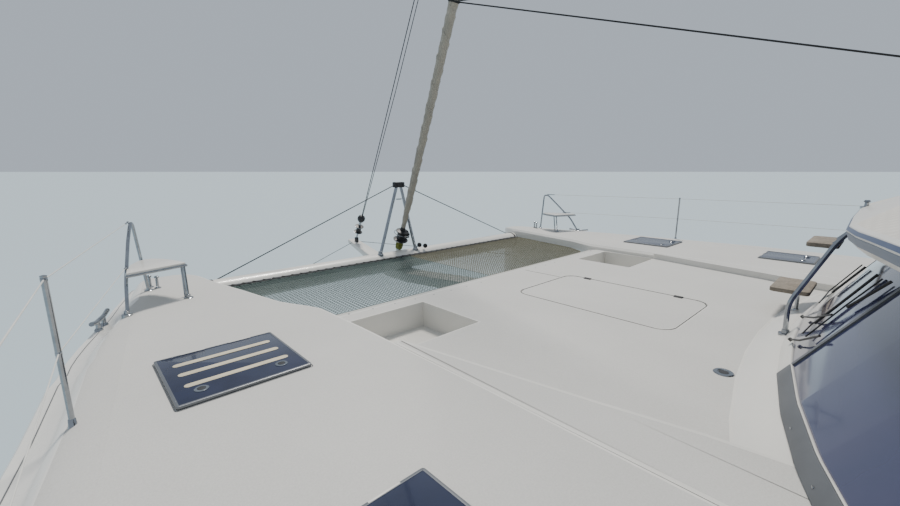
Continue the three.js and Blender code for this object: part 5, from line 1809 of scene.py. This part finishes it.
@dataclass(frozen=True)
class Rig:
    """Mast, spreaders, boom, stowed mainsail and shrouds."""

    mast_y: float = -0.76
    foot: float = 2.76
    top: float = 18.7
    half_wide: float = 0.095
    half_deep: float = 0.145
    spreaders: tuple[tuple[float, float, float], ...] = ((7.6, 1.25, 0.33), (12.0, 0.9, 0.24))
    gooseneck: float = 3.35
    boom_front: float = -0.555

    def build(self, fitter: Fitter) -> None:
        """Builds the rig.

        Args:
            fitter: Finishes the pieces.
        """
        self.mast(fitter)
        self.boom(fitter)
        self.mainsail(fitter)
        self.shrouds(fitter)

    def mast(self, fitter: Fitter) -> None:
        """Builds the mast with its track, spreaders, winches, head and halyards.

        Args:
            fitter: Finishes the pieces.
        """
        oval = [(self.half_wide * math.cos(math.tau * i / 36),
                 self.mast_y + self.half_deep * math.sin(math.tau * i / 36))
                for i in range(36)]
        parts = [plate("mast_tube", oval, self.foot, self.top, 0.003)]
        aft = self.mast_y + self.half_deep
        parts.append(slab("mast_track", (-0.016, aft - 0.01, 3.6), (0.016, aft + 0.012, self.top - 0.2),
                          0.003))
        parts.append(slab("masthead", (-0.07, self.mast_y - 0.33, self.top - 0.06),
                          (0.07, self.mast_y + 0.26, self.top), 0.01))
        parts.append(plate("mast_collar",
                           rounded((-0.16, self.mast_y - 0.2), (0.16, self.mast_y + 0.2), 0.09),
                           self.foot, self.foot + 0.03, 0.006))
        for level, half, sweep in self.spreaders:
            for way in (-1, 1):
                outline = [(0.02 * way, self.mast_y - 0.07), (half * way, self.mast_y + sweep - 0.03),
                           (half * way, self.mast_y + sweep + 0.035), (0.02 * way, self.mast_y + 0.09)]
                spreader = plate("spreader", outline, -0.016, 0.016, 0.014)
                tilt = Matrix.Rotation(-way * math.atan2(0.06, half), 4, "Y")
                spreader.data.transform(Matrix.Translation((0, 0, level)) @ tilt)
                parts.append(spreader)
        fitter.fit(joined("mast_extrusion", parts), MAST_ALLOY, nodes=("mast",))
        fittings = [slab("gooseneck", (-0.03, aft - 0.02, self.gooseneck - 0.045),
                         (0.03, self.boom_front + 0.035, self.gooseneck + 0.045), 0.006)]
        for way, level in ((-1, 3.75), (1, 3.55)):
            fittings.append(lathe("mast_winch",
                                  [(0.05, 0), (0.055, 0.02), (0.035, 0.05), (0.034, 0.08), (0.045, 0.1),
                                                 (0.03, 0.11)], (way * 0.085, self.mast_y, level),
                                                 (way, 0, 0)))
        fitter.fit(joined("mast_fittings", fittings), STAINLESS)
        halyards = [tube("halyard", [(x, self.mast_y - self.half_deep - 0.012, self.foot + 0.05),
                                     (x * 0.6, self.mast_y - self.half_deep - 0.02, self.top - 0.1)], 0.005,
                                     around=1)
                    for x in (-0.04, 0.0, 0.04)]
        fitter.fit(joined("halyards", halyards), BLACK_ROPE)

    def boom(self, fitter: Fitter) -> None:
        """Builds the boom with its end fittings.

        Args:
            fitter: Finishes the pieces.
        """
        boom = fitter.refined("boom_extrusion", "boom", 0.02, 3)
        fitter.fit(boom, MAST_ALLOY, "boom", ("boom",))
        end = self.boom_front + 5.15
        caps = [slab("boom_end", (-0.088, end - 0.02, self.gooseneck - 0.11),
                     (0.088, end + 0.012, self.gooseneck + 0.133), 0.01),
                slab("boom_heel", (-0.088, self.boom_front + 0.07, self.gooseneck - 0.133),
                     (0.088, self.boom_front + 0.12, self.gooseneck + 0.133), 0.01)]
        fitter.fit(joined("boom_end_caps", caps), BLACK_NYLON, "boom")

    def mainsail(self, fitter: Fitter) -> None:
        """Builds the stowed mainsail in its cover, with sagging folds.

        Args:
            fitter: Finishes the pieces.
        """
        rows = ((0.17, 0.11, 0.9), (1.2, 0.17, 0.64), (3.0, 0.18, 0.48), (4.6, 0.14, 0.32), (5.0, 0.06, 0.2))
        base = self.gooseneck + 0.1303

        def size(back: float) -> Plan:
            """The bundle's half breadth and height at a distance along the boom."""
            for (a, wa, ha), (b, wb, hb) in zip(rows, rows[1:]):
                if back <= b:
                    t = (back - a) / (b - a)
                    return wa + (wb - wa) * t, ha + (hb - ha) * t
            return rows[-1][1:]

        def spot(u: float, v: float) -> Vector:
            """A point of the cover: u goes round it and v along it."""
            back = 0.17 + 4.83 * v
            wide, high = size(back)
            angle = math.tau * u - math.pi / 2
            sag = 0.03 * math.sin(back * 9 + math.sin(angle * 2) * 2) + 0.02 * math.sin(back * 23 + angle * 3)
            up = (math.sin(angle) + 1) / 2
            fullness = math.cos(angle) * (0.95 if up < 0.5 else 1.0 - 0.35 * (up - 0.5) * 2)
            return Vector((wide * fullness * (1 + sag), self.boom_front + back,
                           base + high * up * (1 + sag * 0.3 * up)))

        cover = grid("sail_cover", 40, 150, spot)
        weld(cover)
        with editing(cover):
            bpy.ops.mesh.select_non_manifold()
            bpy.ops.mesh.edge_face_add()
        fitter.fit(cover, COVER_CANVAS, "boom", ("stowed_mainsail",))
        wrap = ((-0.092, base - 0.2), (-0.092, base + 0.03), (0.092, base + 0.03), (0.092, base - 0.2))
        straps = [tube("cover_strap", [(x, self.boom_front + back, z) for x, z in wrap], 0.006, bend=0.03,
                       around=1)
                  for back in (0.9, 1.9, 2.9, 3.9)]
        fitter.fit(joined("cover_straps", straps), BLACK_ROPE, "boom")

    def shrouds(self, fitter: Fitter) -> None:
        """Builds the shrouds with their turnbuckles and chainplates.

        Args:
            fitter: Finishes the pieces.
        """
        foot = Vector((3.48, 0.26, DECK + 0.05))
        tips = [(half + 0.012, self.mast_y + sweep, level + 0.06) for level, half, sweep in self.spreaders]
        cap = tube("cap_shroud", [foot, *tips, (0.07, self.mast_y, 15.3)], 0.006, around=2)
        lower = tube("lower_shroud", [foot + Vector((0, 0.04, 0)), (0.07, self.mast_y + 0.04, 7.45)], 0.005,
                     around=2)
        fitter.both(joined("port_shroud_wires", [cap, lower]), "shroud_wires", WIRE, "shrouds")
        way = Vector((-0.37, -0.115, 1)).normalized()
        screws = [lathe("turnbuckle", [(0.008, 0.0), (0.013, 0.02), (0.013, 0.3), (0.007, 0.34)],
                        foot + shift, way, 14)
                  for shift in (Vector((0, 0, 0)), Vector((0, 0.04, 0)))]
        plate_part = slab("chainplate", (3.468, 0.2, DECK - 0.03), (3.492, 0.34, DECK + 0.07), 0.004)
        fitter.both(joined("port_chainplate", [*screws, plate_part]), "chainplate", STAINLESS)


@dataclass(frozen=True)
class Cockpit:
    """Bench, helm console, wheel, helm seat and the engine lids."""

    helm_x: float = -1.48
    wheel_y: float = 2.86
    wheel_z: float = 1.85
    wheel_radius: float = 0.34

    def build(self, fitter: Fitter) -> None:
        """Builds the cockpit's pieces.

        Args:
            fitter: Finishes the pieces.
        """
        fitter.moulding("cockpit_bench", 0.02)
        fitter.moulding("helm_console", 0.012)
        low_edge, high_edge = Vector((0, 2.74, 1.9)), Vector((0, 2.56, 2.08))
        face = (high_edge - low_edge).normalized()
        out = Vector((0, -face.z, face.y)) * -1
        screens = []
        for shift in (-0.19, 0.05):
            screen = plate("screen", rounded((-0.1, -0.07), (0.1, 0.07), 0.012), -0.004, 0.012, 0.004)
            middle = (low_edge + high_edge) / 2 + Vector((self.helm_x + shift, 0, 0))
            turn = Matrix((Vector((1, 0, 0)), face, out)).transposed().to_4x4()
            screen.data.transform(Matrix.Translation(middle) @ turn)
            screens.append(screen)
        fitter.fit(joined("helm_screens", screens), BLACK_NYLON)
        self.wheel(fitter)
        fitter.moulding("helm_seat", 0.03, 4)
        for side in Side:
            node = f"{side.label}_engine_lid"
            lid = fitter.refined(f"{node}_moulding", node, 0.005)
            lid.data.materials.append(GELCOAT.material())
            panel(lid, lambda f: f.normal.z > FLAT and f.calc_area() > 0.3, 0.03, NONSKID)
            fitter.fit(lid, None, node, (node,))

    def wheel(self, fitter: Fitter) -> None:
        """Builds the steering wheel.

        Args:
            fitter: Finishes the pieces.
        """
        hub_place = Vector((self.helm_x, self.wheel_y, self.wheel_z))
        ring = [hub_place + Vector((math.cos(a), 0, math.sin(a))) * self.wheel_radius
                for a in (math.tau * i / 64 for i in range(64))]
        rim = tube("steering_wheel_rim", ring, 0.0145, closed=True)
        fitter.fit(rim, LEATHER, "steering_wheel", ("steering_wheel",))
        spokes = []
        for i in range(5):
            angle = math.pi / 2 + math.tau * i / 5
            end = hub_place + Vector((math.cos(angle), 0, math.sin(angle))) * (self.wheel_radius - 0.005)
            spokes.append(tube("spoke", [hub_place, end], 0.0085, around=2))
        hub = lathe("hub", [(0.03, -0.044), (0.045, -0.038), (0.045, 0.012), (0.03, 0.022)], hub_place,
                    (0, 1, 0))
        fitter.fit(joined("steering_wheel_spokes", [hub, *spokes]), STAINLESS, "steering_wheel")


@dataclass(frozen=True)
class Underwater:
    """Keels, drive legs, propellers, rudders and engines."""

    def build(self, fitter: Fitter) -> None:
        """Builds what lies below the waterline and in the engine bays.

        Args:
            fitter: Finishes the pieces.
        """
        for side in Side:
            label = side.label
            for node, finish, body, edge in (
                    ("keel", ANTIFOULING, "boat", 0.01),
                    ("rudder", ANTIFOULING, f"{label}_rudder", 0.006),
                    ("drive_leg", GREY_ENAMEL, "boat", 0.008),
                    ("propeller", BRONZE, f"{label}_propeller", 0.003),
                    ("engine", ENGINE_PAINT, "boat", 0.02)):
                name = f"{label}_{node}"
                fitter.fit(fitter.refined(f"{name}_shape", name, edge), finish, body, (name,))


def main() -> None:
    """Builds and dresses the boat."""
    logging.basicConfig(level=logging.INFO, format="%(name)s: %(message)s")
    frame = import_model()
    PhotoCamera().build()
    Studio().build()
    fitter = Fitter(frame["nodes"])
    assemblies = (Hull(), Foredeck(), Guardrail(), Pulpit(), DeckHatch("forward", (Side.PORT,)),
                  DeckHatch("aft"), Trampoline(),
                  ForeBeam(), Sprit(), Headsail(), Saloon(), Roof(), RoofAccess(), Rig(), Cockpit(),
                  Underwater())
    for assembly in assemblies:
        assembly.build(fitter)
        log.info("%s done, %d pieces so far", type(assembly).__name__, fitter.count)


if __name__ == "__main__":
    main()
